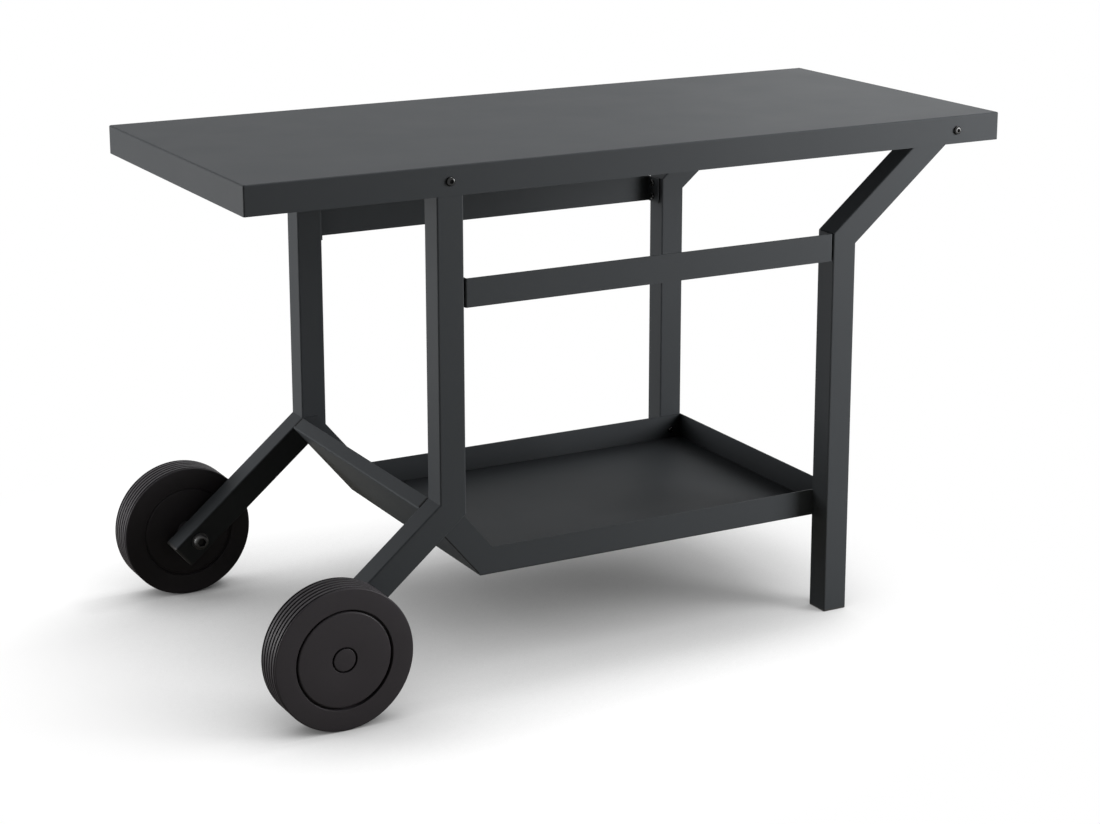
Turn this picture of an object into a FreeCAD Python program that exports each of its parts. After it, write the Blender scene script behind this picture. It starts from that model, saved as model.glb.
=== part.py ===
import FreeCAD, Part
import os
import Sketcher

# Griddle cart: a folded steel top on four legs of square tube, two of them ending in wheels.
# Millimetres. The origin is on the floor under the middle of the top. +X runs along the top,
# with the wheels at -X and the feet at +X, +Y points to the back and +Z up.
# The front half is modelled, and each rear piece is its mirror image in the plane y = 0.

SIZES = (
    # Top: one sheet, folded down on four sides
    ("table_length", 1220.0),
    ("table_width", 534.0),
    ("table_height", 750.0),
    ("skirt_depth", 42.0),
    ("top_gauge", 2.0),
    ("top_bend", 2.4),
    # Legs: square tube, mitred and welded
    ("tube_side", 40.0),
    ("tube_wall", 2.0),
    ("tube_corner", 2.5),
    ("leg_angle", 50.0),
    ("wheel_leg_inset", 296.5),
    ("wheel_bend_height", 264.5),
    ("arm_overhang", 32.0),
    ("top_bar_inset", 46.4),
    ("top_bar_length", 55.0),
    ("top_bar_screw", 24.0),
    ("foot_bend_drop", 168.0),
    # Plastic plugs that close the tubes
    ("cap_rim", 4.0),
    ("cap_round", 2.5),
    ("foot_rim", 3.0),
    ("foot_round", 1.0),
    ("plug_length", 16.0),
    ("plug_wall", 2.5),
    ("plug_clearance", 0.2),
    # Rails: flat strip with both ends bent in to a tab
    ("rail_below_bend", 0.1),
    ("rail_height", 41.0),
    ("rail_gauge", 2.0),
    ("rail_bend", 2.6),
    ("rail_tab", 33.0),
    ("rail_screw_inset", 15.5),
    ("rail_screw_pitch", 22.0),
    # Lower tray: one sheet, with a sloping end between the arms
    ("tray_bottom", 144.0),
    ("tray_wall", 41.0),
    ("tray_gauge", 2.0),
    ("tray_bend", 3.0),
    ("tray_lip", 21.0),
    ("tray_screw_rise", 15.5),
    ("tray_arm_screw", 13.0),
    # Wheels: tyre, moulded centre and hub cap
    ("wheel_radius", 101.5),
    ("wheel_width", 50.0),
    ("wheel_gap", 11.7),
    ("tyre_bore", 71.2),
    ("shoulder_share", 0.85),
    ("tyre_lip_round", 0.8),
    ("tread_grooves", 6),
    ("groove_width", 3.6),
    ("groove_floor", 1.6),
    ("groove_depth", 2.4),
    ("disc_radius", 68.2),
    ("disc_inset", 0.8),
    ("disc_edge", 2.5),
    ("rim_step", 8.0),
    ("hub_boss_radius", 17.0),
    ("nut_chamber_radius", 14.0),
    ("nut_chamber_depth", 21.0),
    ("hub_cap_radius", 15.8),
    ("hub_cap_groove", 2.0),
    ("hub_cap_groove_depth", 6.5),
    ("hub_cap_seat", 3.0),
    ("hub_cap_wall", 2.0),
    ("hub_cap_skirt", 5.0),
    ("hub_cap_round", 0.8),
    # Stub axles: a bolt through the arm, with a sleeve that the wheel turns on
    ("axle_diameter", 12.0),
    ("axle_hole_clearance", 0.2),
    ("axle_head_diameter", 23.0),
    ("axle_head_height", 7.0),
    ("axle_head_round", 4.0),
    ("axle_socket", 12.0),
    ("axle_socket_depth", 5.0),
    ("axle_nut_flats", 18.0),
    ("axle_nut_height", 10.0),
    ("axle_thread_out", 2.0),
    ("sleeve_diameter", 16.0),
    ("washer_diameter", 26.0),
    ("washer_gauge", 2.5),
    ("running_clearance", 0.05),
    ("end_play", 0.4),
    # Screws and the blind nuts set in the tubes
    ("screw_diameter", 6.0),
    ("screw_length", 14.0),
    ("screw_hole_clearance", 0.25),
    ("button_diameter", 11.0),
    ("button_height", 3.3),
    ("button_round", 2.4),
    ("button_socket", 4.0),
    ("button_socket_depth", 2.0),
    ("top_button_diameter", 13.0),
    ("top_button_height", 3.8),
    ("top_button_round", 2.8),
    ("top_button_socket", 5.0),
    ("top_button_socket_depth", 2.4),
    ("top_nut_diameter", 11.0),
    ("leg_nut_diameter", 9.0),
    ("nut_bulge", 1.6),
    ("nut_bulge_length", 3.0),
    ("nut_length", 13.0),
    ("nut_flange", 2.0),
    ("nut_flange_width", 2.5),
    ("fit_clearance", 0.05),
)

PLACES = (
    # Faces and centre plane of the legs, measured from y = 0
    ("leg_out", "sizes.table_width / 2 - sizes.top_gauge"),
    ("leg_y", "leg_out - sizes.tube_side / 2"),
    ("leg_in", "leg_out - sizes.tube_side"),
    ("half_tube", "sizes.tube_side / 2"),
    ("half_bore", "sizes.tube_side / 2 - sizes.tube_wall"),
    ("top_under", "sizes.table_height - sizes.top_gauge"),
    # Slopes of the bent tubes and of their mitres
    ("leg_sin", "sin(sizes.leg_angle)"),
    ("leg_cos", "cos(sizes.leg_angle)"),
    ("mitre", "tan(sizes.leg_angle / 2)"),
    ("top_mitre", "tan((90 - sizes.leg_angle) / 2)"),
    ("lean", "leg_sin / leg_cos"),
    # Wheel legs, set in from the left end of the top
    ("wheel_leg_x", "sizes.wheel_leg_inset - sizes.table_length / 2"),
    # Axle, on the centre line of the arm at the height of the wheel's radius
    ("axle_x", "wheel_leg_x - (sizes.wheel_bend_height - sizes.wheel_radius) * lean"),
    ("arm_end_x", "axle_x - sizes.arm_overhang * leg_sin"),
    ("arm_end_z", "sizes.wheel_radius - sizes.arm_overhang * leg_cos"),
    # Foot legs, set in from the right end of the top: level bar, its bend, and the bend of the upright
    ("bar_z", "top_under - half_tube"),
    ("bar_end_x", "sizes.table_length / 2 - sizes.top_bar_inset"),
    ("bar_x", "bar_end_x - sizes.top_bar_length"),
    ("foot_bend_z", "sizes.table_height - sizes.foot_bend_drop"),
    ("foot_leg_x", "bar_x - (bar_z - foot_bend_z) * lean"),
    # Rails, between the upright of a wheel leg and the upright of a foot leg, just under its bend
    ("wheel_leg_face", "wheel_leg_x + half_tube"),
    ("foot_leg_face", "foot_leg_x - half_tube"),
    ("rail_left", "wheel_leg_face + sizes.nut_flange"),
    ("rail_right", "foot_leg_face - sizes.nut_flange"),
    ("rail_top", "foot_bend_z + half_tube * mitre - sizes.rail_below_bend"),
    ("rail_bottom", "rail_top - sizes.rail_height"),
    ("rail_mid", "rail_top - sizes.rail_height / 2"),
    ("rail_screw_y", "leg_out - sizes.rail_screw_inset"),
    # Sloping end of the tray: its lip lies in the upper face of the arms and ends at their bend
    ("lip_end_x", "wheel_leg_x - half_tube"),
    ("lip_end_z", "sizes.wheel_bend_height + half_tube * mitre"),
    ("fold_x", "lip_end_x - sizes.tray_lip * leg_sin"),
    ("fold_z", "lip_end_z - sizes.tray_lip * leg_cos"),
    ("slope_run", "1 / lean"),
    ("tray_left", "fold_x + (fold_z - sizes.tray_bottom) * slope_run"),
    ("tray_right", "foot_leg_x + half_tube"),
    ("tray_top", "sizes.tray_bottom + sizes.tray_wall"),
    ("tray_floor", "sizes.tray_bottom + sizes.tray_gauge"),
    ("wall_x", "fold_x + sizes.tray_wall * leg_sin"),
    ("wall_z", "fold_z + sizes.tray_wall * leg_cos"),
    ("panel_x", "fold_x + sizes.tray_gauge * leg_sin"),
    ("panel_z", "fold_z + sizes.tray_gauge * leg_cos"),
    ("tray_screw_z", "sizes.tray_bottom + sizes.tray_screw_rise"),
    ("arm_screw_x", "fold_x + sizes.tray_arm_screw * leg_sin + half_tube * leg_cos"),
    ("arm_screw_z", "fold_z + sizes.tray_arm_screw * leg_cos - half_tube * leg_sin"),
    # Wheels, from their own middle plane: the outer side is at -half_wheel
    ("half_wheel", "sizes.wheel_width / 2"),
    ("wheel_y", "leg_out + sizes.wheel_gap + half_wheel"),
    ("tread_pitch", "sizes.wheel_width / sizes.tread_grooves"),
    ("groove_mid", "-half_wheel + tread_pitch / 2"),
    ("shoulder", "(tread_pitch - sizes.groove_width) / 2 * sizes.shoulder_share"),
    ("hub_bore", "sizes.sleeve_diameter / 2 + sizes.running_clearance"),
    ("hub_inner", "half_wheel + sizes.wheel_gap - sizes.end_play"),
    ("disc_face", "half_wheel - sizes.disc_inset"),
    ("chamber_floor", "-half_wheel + sizes.nut_chamber_depth"),
    ("cap_shelf", "-disc_face + sizes.hub_cap_seat"),
    ("cap_groove_floor", "-disc_face + sizes.hub_cap_groove_depth"),
    ("cap_skirt_radius", "sizes.nut_chamber_radius - sizes.fit_clearance"),
    # Stack of the axle along y: sleeve on the arm, washer and nut in the chamber, bolt head behind
    ("sleeve_in", "half_wheel + sizes.wheel_gap"),
    ("sleeve_out", "chamber_floor - sizes.end_play"),
    ("nut_seat", "sleeve_out - sizes.washer_gauge"),
    ("nut_top", "nut_seat - sizes.axle_nut_height"),
    ("bolt_end", "nut_top - sizes.axle_thread_out"),
    ("arm_back", "sleeve_in + sizes.tube_side"),
    ("bolt_seat", "arm_back + sizes.washer_gauge"),
    ("axle_radius", "sizes.axle_diameter / 2"),
    ("axle_hole", "axle_radius + sizes.axle_hole_clearance"),
    # Screws
    ("screw_radius", "sizes.screw_diameter / 2"),
    ("screw_hole", "screw_radius + sizes.screw_hole_clearance"),
    ("top_screw_x", "bar_x + sizes.top_bar_screw"),
)

TURN = {
    "+x": FreeCAD.Rotation(FreeCAD.Vector(0, 1, 0), 90),
    "-x": FreeCAD.Rotation(FreeCAD.Vector(0, 1, 0), -90),
    "+y": FreeCAD.Rotation(FreeCAD.Vector(1, 0, 0), -90),
    "-y": FreeCAD.Rotation(FreeCAD.Vector(1, 0, 0), 90),
    "+z": FreeCAD.Rotation(),
}
HEXAGON_CORNERS = 6
HEXAGON_RATIO = "cos(30)"

doc = FreeCAD.newDocument("griddle_cart")
nodes = []


def fill_sheets():
    """Puts the driving sizes in one sheet, and what follows from them in another."""
    sizes = doc.addObject("Spreadsheet::Sheet", "sizes")
    for row, (name, number) in enumerate(SIZES, start=1):
        sizes.set("A%d" % row, name.replace("_", " "))
        sizes.set("B%d" % row, str(number))
        sizes.setAlias("B%d" % row, name)
    doc.recompute()
    places = doc.addObject("Spreadsheet::Sheet", "places")
    for row, (name, formula) in enumerate(PLACES, start=1):
        places.set("A%d" % row, name.replace("_", " "))
        places.setAlias("B%d" % row, name)
        places.set("B%d" % row, "=" + formula)
    doc.recompute()


def number(expression):
    """Present value of an expression on the sheets."""
    value = doc.sizes.evalExpression(expression)
    return float(getattr(value, "Value", value))


def bind(target, prop, expression):
    """Ties a property of an object to the sheets."""
    target.setExpression(prop, expression)


def place(target, spot, turn="+z"):
    """Gives an object its direction and ties its position to the sheets."""
    target.Placement = FreeCAD.Placement(FreeCAD.Vector(), TURN[turn])
    for axis, expression in zip("xyz", spot):
        if expression != "0":
            bind(target, "Placement.Base." + axis, expression)


def new_body(name):
    """Empty body with the name of its piece."""
    body = doc.addObject("PartDesign::Body", name)
    body.Label = name
    return body


def origin_feature(body, role):
    """Origin plane or axis of a body."""
    return [item for item in body.Origin.OriginFeatures if item.Role == role][0]


def outline(body, name, role, points):
    """Closed polygon on an origin plane, each corner tied to the sheets."""
    sketch = body.newObject("Sketcher::SketchObject", body.Name + "_" + name)
    sketch.AttachmentSupport = (origin_feature(body, role), "")
    sketch.MapMode = "FlatFace"
    corners = [FreeCAD.Vector(number(x), number(y), 0) for x, y in points]
    count = len(corners)
    for index in range(count):
        sketch.addGeometry(Part.LineSegment(corners[index], corners[(index + 1) % count]), False)
    for index in range(count):
        sketch.addConstraint(Sketcher.Constraint("Coincident", index, 2, (index + 1) % count, 1))
    for index, (x, y) in enumerate(points):
        across = sketch.addConstraint(Sketcher.Constraint("DistanceX", -1, 1, index, 1, corners[index].x))
        bind(sketch, "Constraints[%d]" % across, x)
        upward = sketch.addConstraint(Sketcher.Constraint("DistanceY", -1, 1, index, 1, corners[index].y))
        bind(sketch, "Constraints[%d]" % upward, y)
    return sketch


def box_points(half_x, half_y):
    """Corners of a rectangle about the origin."""
    return [("-(%s)" % half_x, "-(%s)" % half_y), (half_x, "-(%s)" % half_y),
            (half_x, half_y), ("-(%s)" % half_x, half_y)]


def pad(body, sketch, length, middle=False, down=False):
    """Pad of a sketch, upwards unless it is centred or goes down."""
    feature = body.newObject("PartDesign::Pad", sketch.Name + "_pad")
    feature.Profile = sketch
    feature.Midplane = middle
    feature.Reversed = down
    bind(feature, "Length", length)
    doc.recompute()
    return feature


def pocket(body, sketch, length, middle=False, up=False):
    """Pocket of a sketch, downwards unless it is centred or goes up."""
    before = body.Shape.Volume
    feature = body.newObject("PartDesign::Pocket", sketch.Name + "_pocket")
    feature.Profile = sketch
    feature.Midplane = middle
    feature.Reversed = up
    bind(feature, "Length", length)
    doc.recompute()
    if body.Shape.Volume >= before:
        raise RuntimeError(feature.Name + " cuts nothing")
    return feature


def revolve(body, sketch, kind="Revolution"):
    """Turns a sketch of the YZ plane about the y axis, as a solid or as a groove."""
    feature = body.newObject("PartDesign::" + kind, sketch.Name + "_" + kind.lower())
    feature.Profile = sketch
    feature.ReferenceAxis = (sketch, ["H_Axis"])
    feature.Angle = 360
    doc.recompute()
    return feature


def fillet(body, wanted, radius, tag):
    """Fillet on the edges of the body that a test accepts."""
    names = ["Edge%d" % index for index, edge in enumerate(body.Shape.Edges, start=1) if wanted(edge)]
    if not names:
        raise RuntimeError(body.Name + " has no edge for " + tag)
    feature = body.newObject("PartDesign::Fillet", body.Name + "_" + tag)
    feature.Base = (body.Tip if body.Tip != feature else feature.BaseFeature, names)
    bind(feature, "Radius", radius)
    doc.recompute()
    return feature


def drill(body, name, spot, turn, radius, length):
    """Round hole from a point of the body's own frame."""
    before = body.Shape.Volume
    hole = body.newObject("PartDesign::SubtractiveCylinder", body.Name + "_" + name)
    bind(hole, "Radius", radius)
    bind(hole, "Height", length)
    place(hole, spot, turn)
    doc.recompute()
    if body.Shape.Volume >= before:
        raise RuntimeError(hole.Name + " cuts nothing")
    return hole


def socket(body, flats, depth, spot, turn):
    """Hexagon socket, sunk from a point against the turn's direction."""
    hexagon = body.newObject("PartDesign::SubtractivePrism", body.Name + "_socket")
    hexagon.Polygon = HEXAGON_CORNERS
    bind(hexagon, "Circumradius", "%s / 2 / %s" % (flats, HEXAGON_RATIO))
    bind(hexagon, "Height", depth)
    place(hexagon, spot, turn)
    doc.recompute()
    return hexagon


def along(direction):
    """Test for straight edges parallel to a direction."""
    def test(edge):
        if edge.Curve.TypeId != "Part::GeomLine":
            return False
        return edge.Curve.Direction.cross(direction).Length < 1e-6
    return test


def ring(radius, y):
    """Test for circular edges about the y axis."""
    def test(edge):
        if edge.Curve.TypeId != "Part::GeomCircle":
            return False
        return abs(edge.Curve.Radius - number(radius)) < 1e-4 and abs(edge.Curve.Center.y - number(y)) < 1e-4
    return test


def either(*tests):
    """Test that accepts what any of the tests accepts."""
    return lambda edge: any(test(edge) for test in tests)


def keep(item, name):
    """Notes an object as a piece of the cart."""
    item.Label = name
    nodes.append((name, item))


def mirror(source, name):
    """Mirror image of a piece on the other side of the cart."""
    image = doc.addObject("Part::Mirroring", name)
    image.Source = source
    image.Normal = FreeCAD.Vector(0, 1, 0)
    doc.recompute()
    return image


def both_sides(body, name):
    """Keeps a front piece and its mirror image at the rear as two pieces."""
    keep(body, "front_" + name)
    keep(mirror(body, "rear_" + name), "rear_" + name)


def grouped(items, name):
    """Keeps loose copies of a small piece as one group of solids."""
    group = doc.addObject("Part::Compound", name)
    group.Links = items
    doc.recompute()
    keep(group, name)


def placed(master, name, spots):
    """Places copies of a small piece, each at a point and facing a direction."""
    links = []
    for index, (spot, turn) in enumerate(spots, start=1):
        link = doc.addObject("App::Link", "%s_%d" % (name, index))
        link.LinkedObject = master
        place(link, spot, turn)
        links.append(link)
    return links


def copies(master, name, spots):
    """Copies of a small piece as one group."""
    grouped(placed(master, name, spots), name)


def table_top():
    """Folded pan: sheet and four skirts, with screw holes over the ends of the legs."""
    body = new_body("table_top")
    half_x = "sizes.table_length / 2"
    half_y = "sizes.table_width / 2"
    pad(body, outline(body, "sheet", "XY_Plane", box_points(half_x, half_y)), "sizes.skirt_depth")
    top = number("sizes.skirt_depth")
    upright = along(FreeCAD.Vector(0, 0, 1))
    fillet(body, lambda edge: upright(edge) or edge.BoundBox.ZMin > top - 1e-6, "sizes.top_bend", "bend")
    inside = box_points(half_x + " - sizes.top_gauge", half_y + " - sizes.top_gauge")
    pocket(body, outline(body, "inside", "XY_Plane", inside), "sizes.skirt_depth - sizes.top_gauge", up=True)
    hole_z = "places.bar_z - sizes.table_height + sizes.skirt_depth"
    for tag, x in (("wheel", "places.wheel_leg_x"), ("foot", "places.top_screw_x")):
        for side, sign, turn in (("front", "-", "+y"), ("rear", "", "-y")):
            spot = (x, sign + half_y, hole_z)
            drill(body, "hole_%s_%s" % (tag, side), spot, turn, "places.screw_hole", "sizes.top_gauge * 2")
    bind(body, "Placement.Base.z", "sizes.table_height - sizes.skirt_depth")
    keep(body, "table_top")


def tube(name, shape, direction):
    """Length of square tube with mitred ends, from its side view at a given half width."""
    body = new_body("front_" + name)
    pad(body, outline(body, "side", "XZ_Plane", shape("places.half_tube")), "sizes.tube_side", middle=True)
    fillet(body, along(direction), "sizes.tube_corner", "corner")
    bore = outline(body, "bore", "XZ_Plane", shape("places.half_bore"))
    pocket(body, bore, "places.half_bore * 2", middle=True)
    bind(body, "Placement.Base.y", "-places.leg_y")
    return body


def wheel_upright(half):
    """Side view of the upright of a wheel leg: mitred at the bend, square under the top."""
    return [("places.wheel_leg_x - " + half, "sizes.wheel_bend_height + %s * places.mitre" % half),
            ("places.wheel_leg_x + " + half, "sizes.wheel_bend_height - %s * places.mitre" % half),
            ("places.wheel_leg_x + " + half, "places.top_under"),
            ("places.wheel_leg_x - " + half, "places.top_under")]


def wheel_arm(half):
    """Side view of the arm of a wheel leg: from the bend down to its square end past the axle."""
    run, rise = half + " * places.leg_cos", half + " * places.leg_sin"
    return [("places.wheel_leg_x - " + half, "sizes.wheel_bend_height + %s * places.mitre" % half),
            ("places.arm_end_x - " + run, "places.arm_end_z + " + rise),
            ("places.arm_end_x + " + run, "places.arm_end_z - " + rise),
            ("places.wheel_leg_x + " + half, "sizes.wheel_bend_height - %s * places.mitre" % half)]


def foot_upright(half):
    """Side view of the upright of a foot leg: from the rim of its foot up to the bend."""
    return [("places.foot_leg_x - " + half, "sizes.foot_rim"),
            ("places.foot_leg_x + " + half, "sizes.foot_rim"),
            ("places.foot_leg_x + " + half, "places.foot_bend_z - %s * places.mitre" % half),
            ("places.foot_leg_x - " + half, "places.foot_bend_z + %s * places.mitre" % half)]


def foot_diagonal(half):
    """Side view of the sloping tube of a foot leg, mitred at both ends."""
    return [("places.foot_leg_x + " + half, "places.foot_bend_z - %s * places.mitre" % half),
            ("places.bar_x + %s * places.top_mitre" % half, "places.bar_z - " + half),
            ("places.bar_x - %s * places.top_mitre" % half, "places.bar_z + " + half),
            ("places.foot_leg_x - " + half, "places.foot_bend_z + %s * places.mitre" % half)]


def foot_top_bar(half):
    """Side view of the short level tube that a foot leg ends in, under the sheet of the top."""
    return [("places.bar_x + %s * places.top_mitre" % half, "places.bar_z - " + half),
            ("places.bar_end_x", "places.bar_z - " + half),
            ("places.bar_end_x", "places.bar_z + " + half),
            ("places.bar_x - %s * places.top_mitre" % half, "places.bar_z + " + half)]


def legs():
    """Tubes of the front legs with their holes, and the rear legs as mirror images."""
    upright_way = FreeCAD.Vector(0, 0, 1)
    slope_way = FreeCAD.Vector(number("places.leg_sin"), 0, number("places.leg_cos"))
    level_way = FreeCAD.Vector(1, 0, 0)
    wall = "sizes.tube_wall * 2"
    nut_hole = "sizes.leg_nut_diameter / 2"
    rail_y = "places.leg_y - places.rail_screw_y"

    upright = tube("wheel_leg_upright", wheel_upright, upright_way)
    drill(upright, "top_hole", ("places.wheel_leg_x", "-places.half_tube", "places.bar_z"), "+y",
          "sizes.top_nut_diameter / 2", wall)
    for tag, sign in (("low", "-"), ("high", "+")):
        height = "places.rail_mid %s sizes.rail_screw_pitch / 2" % sign
        drill(upright, "rail_hole_" + tag, ("places.wheel_leg_face", rail_y, height), "-x", nut_hole, wall)
    both_sides(upright, "wheel_leg_upright")

    arm = tube("wheel_leg_arm", wheel_arm, slope_way)
    drill(arm, "axle_hole", ("places.axle_x", "-places.half_tube", "sizes.wheel_radius"), "+y",
          "places.axle_hole", "sizes.tube_side")
    drill(arm, "tray_hole", ("places.arm_screw_x", "places.half_tube", "places.arm_screw_z"), "-y",
          nut_hole, wall)
    both_sides(arm, "wheel_leg_arm")

    upright = tube("foot_leg_upright", foot_upright, upright_way)
    for tag, sign in (("low", "-"), ("high", "+")):
        height = "places.rail_mid %s sizes.rail_screw_pitch / 2" % sign
        drill(upright, "rail_hole_" + tag, ("places.foot_leg_face", rail_y, height), "+x", nut_hole, wall)
    drill(upright, "tray_hole", ("places.foot_leg_x", "places.half_tube", "places.tray_screw_z"), "-y",
          nut_hole, wall)
    both_sides(upright, "foot_leg_upright")

    both_sides(tube("foot_leg_diagonal", foot_diagonal, slope_way), "foot_leg_diagonal")

    bar = tube("foot_leg_top_bar", foot_top_bar, level_way)
    drill(bar, "top_hole", ("places.top_screw_x", "-places.half_tube", "places.bar_z"), "+y",
          "sizes.top_nut_diameter / 2", wall)
    both_sides(bar, "foot_leg_top_bar")


def tube_plug(name, rim, edge_round, spot, angle):
    """Plastic plug in the end of a tube: a rim outside it and a hollow square spigot inside."""
    body = new_body("front_" + name)
    half = "places.half_tube"
    pad(body, outline(body, "rim", "XY_Plane", box_points(half, half)), rim)
    fillet(body, along(FreeCAD.Vector(0, 0, 1)), "sizes.tube_corner", "corner")
    face = number(rim)
    fillet(body, lambda edge: edge.BoundBox.ZMin > face - 1e-6, edge_round, "round")
    spigot = "(places.half_bore - sizes.plug_clearance)"
    pad(body, outline(body, "spigot", "XY_Plane", box_points(spigot, spigot)), "sizes.plug_length", down=True)
    hollow = spigot + " - sizes.plug_wall"
    sketch = outline(body, "hollow", "XY_Plane", box_points(hollow, hollow))
    pocket(body, sketch, "sizes.plug_length")
    body.Placement = FreeCAD.Placement(FreeCAD.Vector(), FreeCAD.Vector(0, 1, 0), number(angle))
    bind(body, "Placement.Rotation.Angle", angle)
    for axis, expression in zip("xyz", spot):
        bind(body, "Placement.Base." + axis, expression)
    doc.recompute()
    both_sides(body, name)


def tube_plugs():
    """Plugs of the arms, of the top bars and of the feet."""
    tube_plug("arm_end_cap", "sizes.cap_rim", "sizes.cap_round",
              ("places.arm_end_x", "-places.leg_y", "places.arm_end_z"), "180 + sizes.leg_angle")
    tube_plug("top_bar_end_cap", "sizes.cap_rim", "sizes.cap_round",
              ("places.bar_end_x", "-places.leg_y", "places.bar_z"), "90")
    tube_plug("foot_cap", "sizes.foot_rim", "sizes.foot_round",
              ("places.foot_leg_x", "-places.leg_y", "sizes.foot_rim"), "180")


def rails():
    """Flat strip between the uprights, flush with their outer faces, with its tabs bent inwards."""
    body = new_body("front_rail")
    left, right = "places.rail_left", "places.rail_right"
    outer, tab = "-places.leg_out", "-places.leg_out + sizes.rail_tab"
    inner = "-places.leg_out + sizes.rail_gauge"
    left_in, right_in = left + " + sizes.rail_gauge", right + " - sizes.rail_gauge"
    plan = [(left, tab), (left, outer), (right, outer), (right, tab),
            (right_in, tab), (right_in, inner), (left_in, inner), (left_in, tab)]
    pad(body, outline(body, "plan", "XY_Plane", plan), "sizes.rail_height")
    upright = along(FreeCAD.Vector(0, 0, 1))
    front, back = number(outer), number(inner)
    fillet(body, lambda edge: upright(edge) and abs(edge.BoundBox.YMin - front) < 1e-6,
           "sizes.rail_bend", "outer_bend")
    fillet(body, lambda edge: upright(edge) and abs(edge.BoundBox.YMin - back) < 1e-6,
           "sizes.rail_bend - sizes.rail_gauge", "inner_bend")
    for tag, sign in (("low", "-"), ("high", "+")):
        height = "sizes.rail_height / 2 %s sizes.rail_screw_pitch / 2" % sign
        for side, x, turn in (("left", left, "+x"), ("right", right, "-x")):
            drill(body, "hole_%s_%s" % (side, tag), (x, "-places.rail_screw_y", height), turn,
                  "places.screw_hole", "sizes.rail_gauge * 2")
    bind(body, "Placement.Base.z", "places.rail_bottom")
    both_sides(body, "rail")


def lower_tray():
    """Folded tray: floor, walls, and a sloping end panel with a lip that lies level with the arms."""
    body = new_body("lower_tray")
    slope = " * places.slope_run"
    wall_top = [("places.wall_x + (places.wall_z - places.tray_top)" + slope, "places.tray_top"),
                ("places.wall_x + (places.wall_z - places.lip_end_z)" + slope, "places.lip_end_z")]
    side = [("places.tray_left", "sizes.tray_bottom"), ("places.tray_right", "sizes.tray_bottom"),
            ("places.tray_right", "places.tray_top"), wall_top[0], wall_top[1],
            ("places.lip_end_x", "places.lip_end_z"), ("places.fold_x", "places.fold_z")]
    pad(body, outline(body, "side", "XZ_Plane", side), "places.leg_in * 2", middle=True)
    half, low = number("places.leg_in"), number("sizes.tray_bottom")
    left, right = number("places.tray_left"), number("places.tray_right")
    fold = FreeCAD.Vector(number("places.fold_x"), 0, number("places.fold_z"))
    lengthways, across = along(FreeCAD.Vector(1, 0, 0)), along(FreeCAD.Vector(0, 1, 0))

    def folded(edge):
        middle = edge.BoundBox.Center
        in_floor = abs(middle.z - low) < 1e-6
        at_an_end = min(abs(middle.x - left), abs(middle.x - right)) < 1e-6
        floor_side = lengthways(edge) and in_floor
        floor_end = across(edge) and in_floor and at_an_end
        lip_fold = across(edge) and (middle - fold).Length < 1e-6
        return floor_side or floor_end or lip_fold

    fillet(body, folded, "sizes.tray_bend", "bend")
    gauge_run = "sizes.tray_gauge * places.leg_cos"
    gauge_rise = "sizes.tray_gauge * places.leg_sin"
    high = "places.lip_end_z + sizes.tray_wall"
    inside = [("places.panel_x + (places.panel_z - places.tray_floor)" + slope, "places.tray_floor"),
              ("places.tray_right - sizes.tray_gauge", "places.tray_floor"),
              ("places.tray_right - sizes.tray_gauge", high),
              ("places.lip_end_x", high), ("places.lip_end_x", "places.lip_end_z"),
              ("places.lip_end_x + " + gauge_run, "places.lip_end_z - " + gauge_rise),
              ("places.panel_x + " + gauge_run, "places.panel_z - " + gauge_rise)]
    sketch = outline(body, "inside", "XZ_Plane", inside)
    pocket(body, sketch, "(places.leg_in - sizes.tray_gauge) * 2", middle=True)
    for tag, x, z in (("foot", "places.foot_leg_x", "places.tray_screw_z"),
                      ("arm", "places.arm_screw_x", "places.arm_screw_z")):
        for side, sign, turn in (("front", "-", "+y"), ("rear", "", "-y")):
            drill(body, "hole_%s_%s" % (tag, side), (x, sign + "places.leg_in", z), turn,
                  "places.screw_hole", "sizes.tray_gauge * 2")
    keep(body, "lower_tray")


def at_wheel(body):
    """Sets a piece that was turned about the y axis on the axle of the front wheel."""
    place(body, ("places.axle_x", "-places.wheel_y", "sizes.wheel_radius"))
    doc.recompute()


def tyre():
    """Tyre with rounded shoulders and grooves round its tread."""
    body = new_body("front_tyre")
    half = "places.half_wheel"
    section = [("-" + half, "sizes.tyre_bore"), (half, "sizes.tyre_bore"),
               (half, "sizes.wheel_radius"), ("-" + half, "sizes.wheel_radius")]
    revolve(body, outline(body, "section", "YZ_Plane", section))
    shoulders = either(ring("sizes.wheel_radius", half), ring("sizes.wheel_radius", "-" + half))
    fillet(body, shoulders, "places.shoulder", "shoulder")
    lips = either(ring("sizes.tyre_bore", half), ring("sizes.tyre_bore", "-" + half))
    fillet(body, lips, "sizes.tyre_lip_round", "lip")
    floor = "sizes.wheel_radius - sizes.groove_depth"
    cut = [("places.groove_mid - sizes.groove_width / 2", "sizes.wheel_radius"),
           ("places.groove_mid - sizes.groove_floor / 2", floor),
           ("places.groove_mid + sizes.groove_floor / 2", floor),
           ("places.groove_mid + sizes.groove_width / 2", "sizes.wheel_radius")]
    before = body.Shape.Volume
    groove = revolve(body, outline(body, "groove", "YZ_Plane", cut), "Groove")
    tread = body.newObject("PartDesign::LinearPattern", "front_tyre_tread")
    tread.Originals = [groove]
    tread.Direction = (origin_feature(body, "Y_Axis"), [""])
    bind(tread, "Length", "places.tread_pitch * (sizes.tread_grooves - 1)")
    bind(tread, "Occurrences", "sizes.tread_grooves")
    body.Tip = tread
    doc.recompute()
    if body.Shape.Volume >= before:
        raise RuntimeError("the tread has no grooves")
    at_wheel(body)
    both_sides(body, "tyre")


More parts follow.
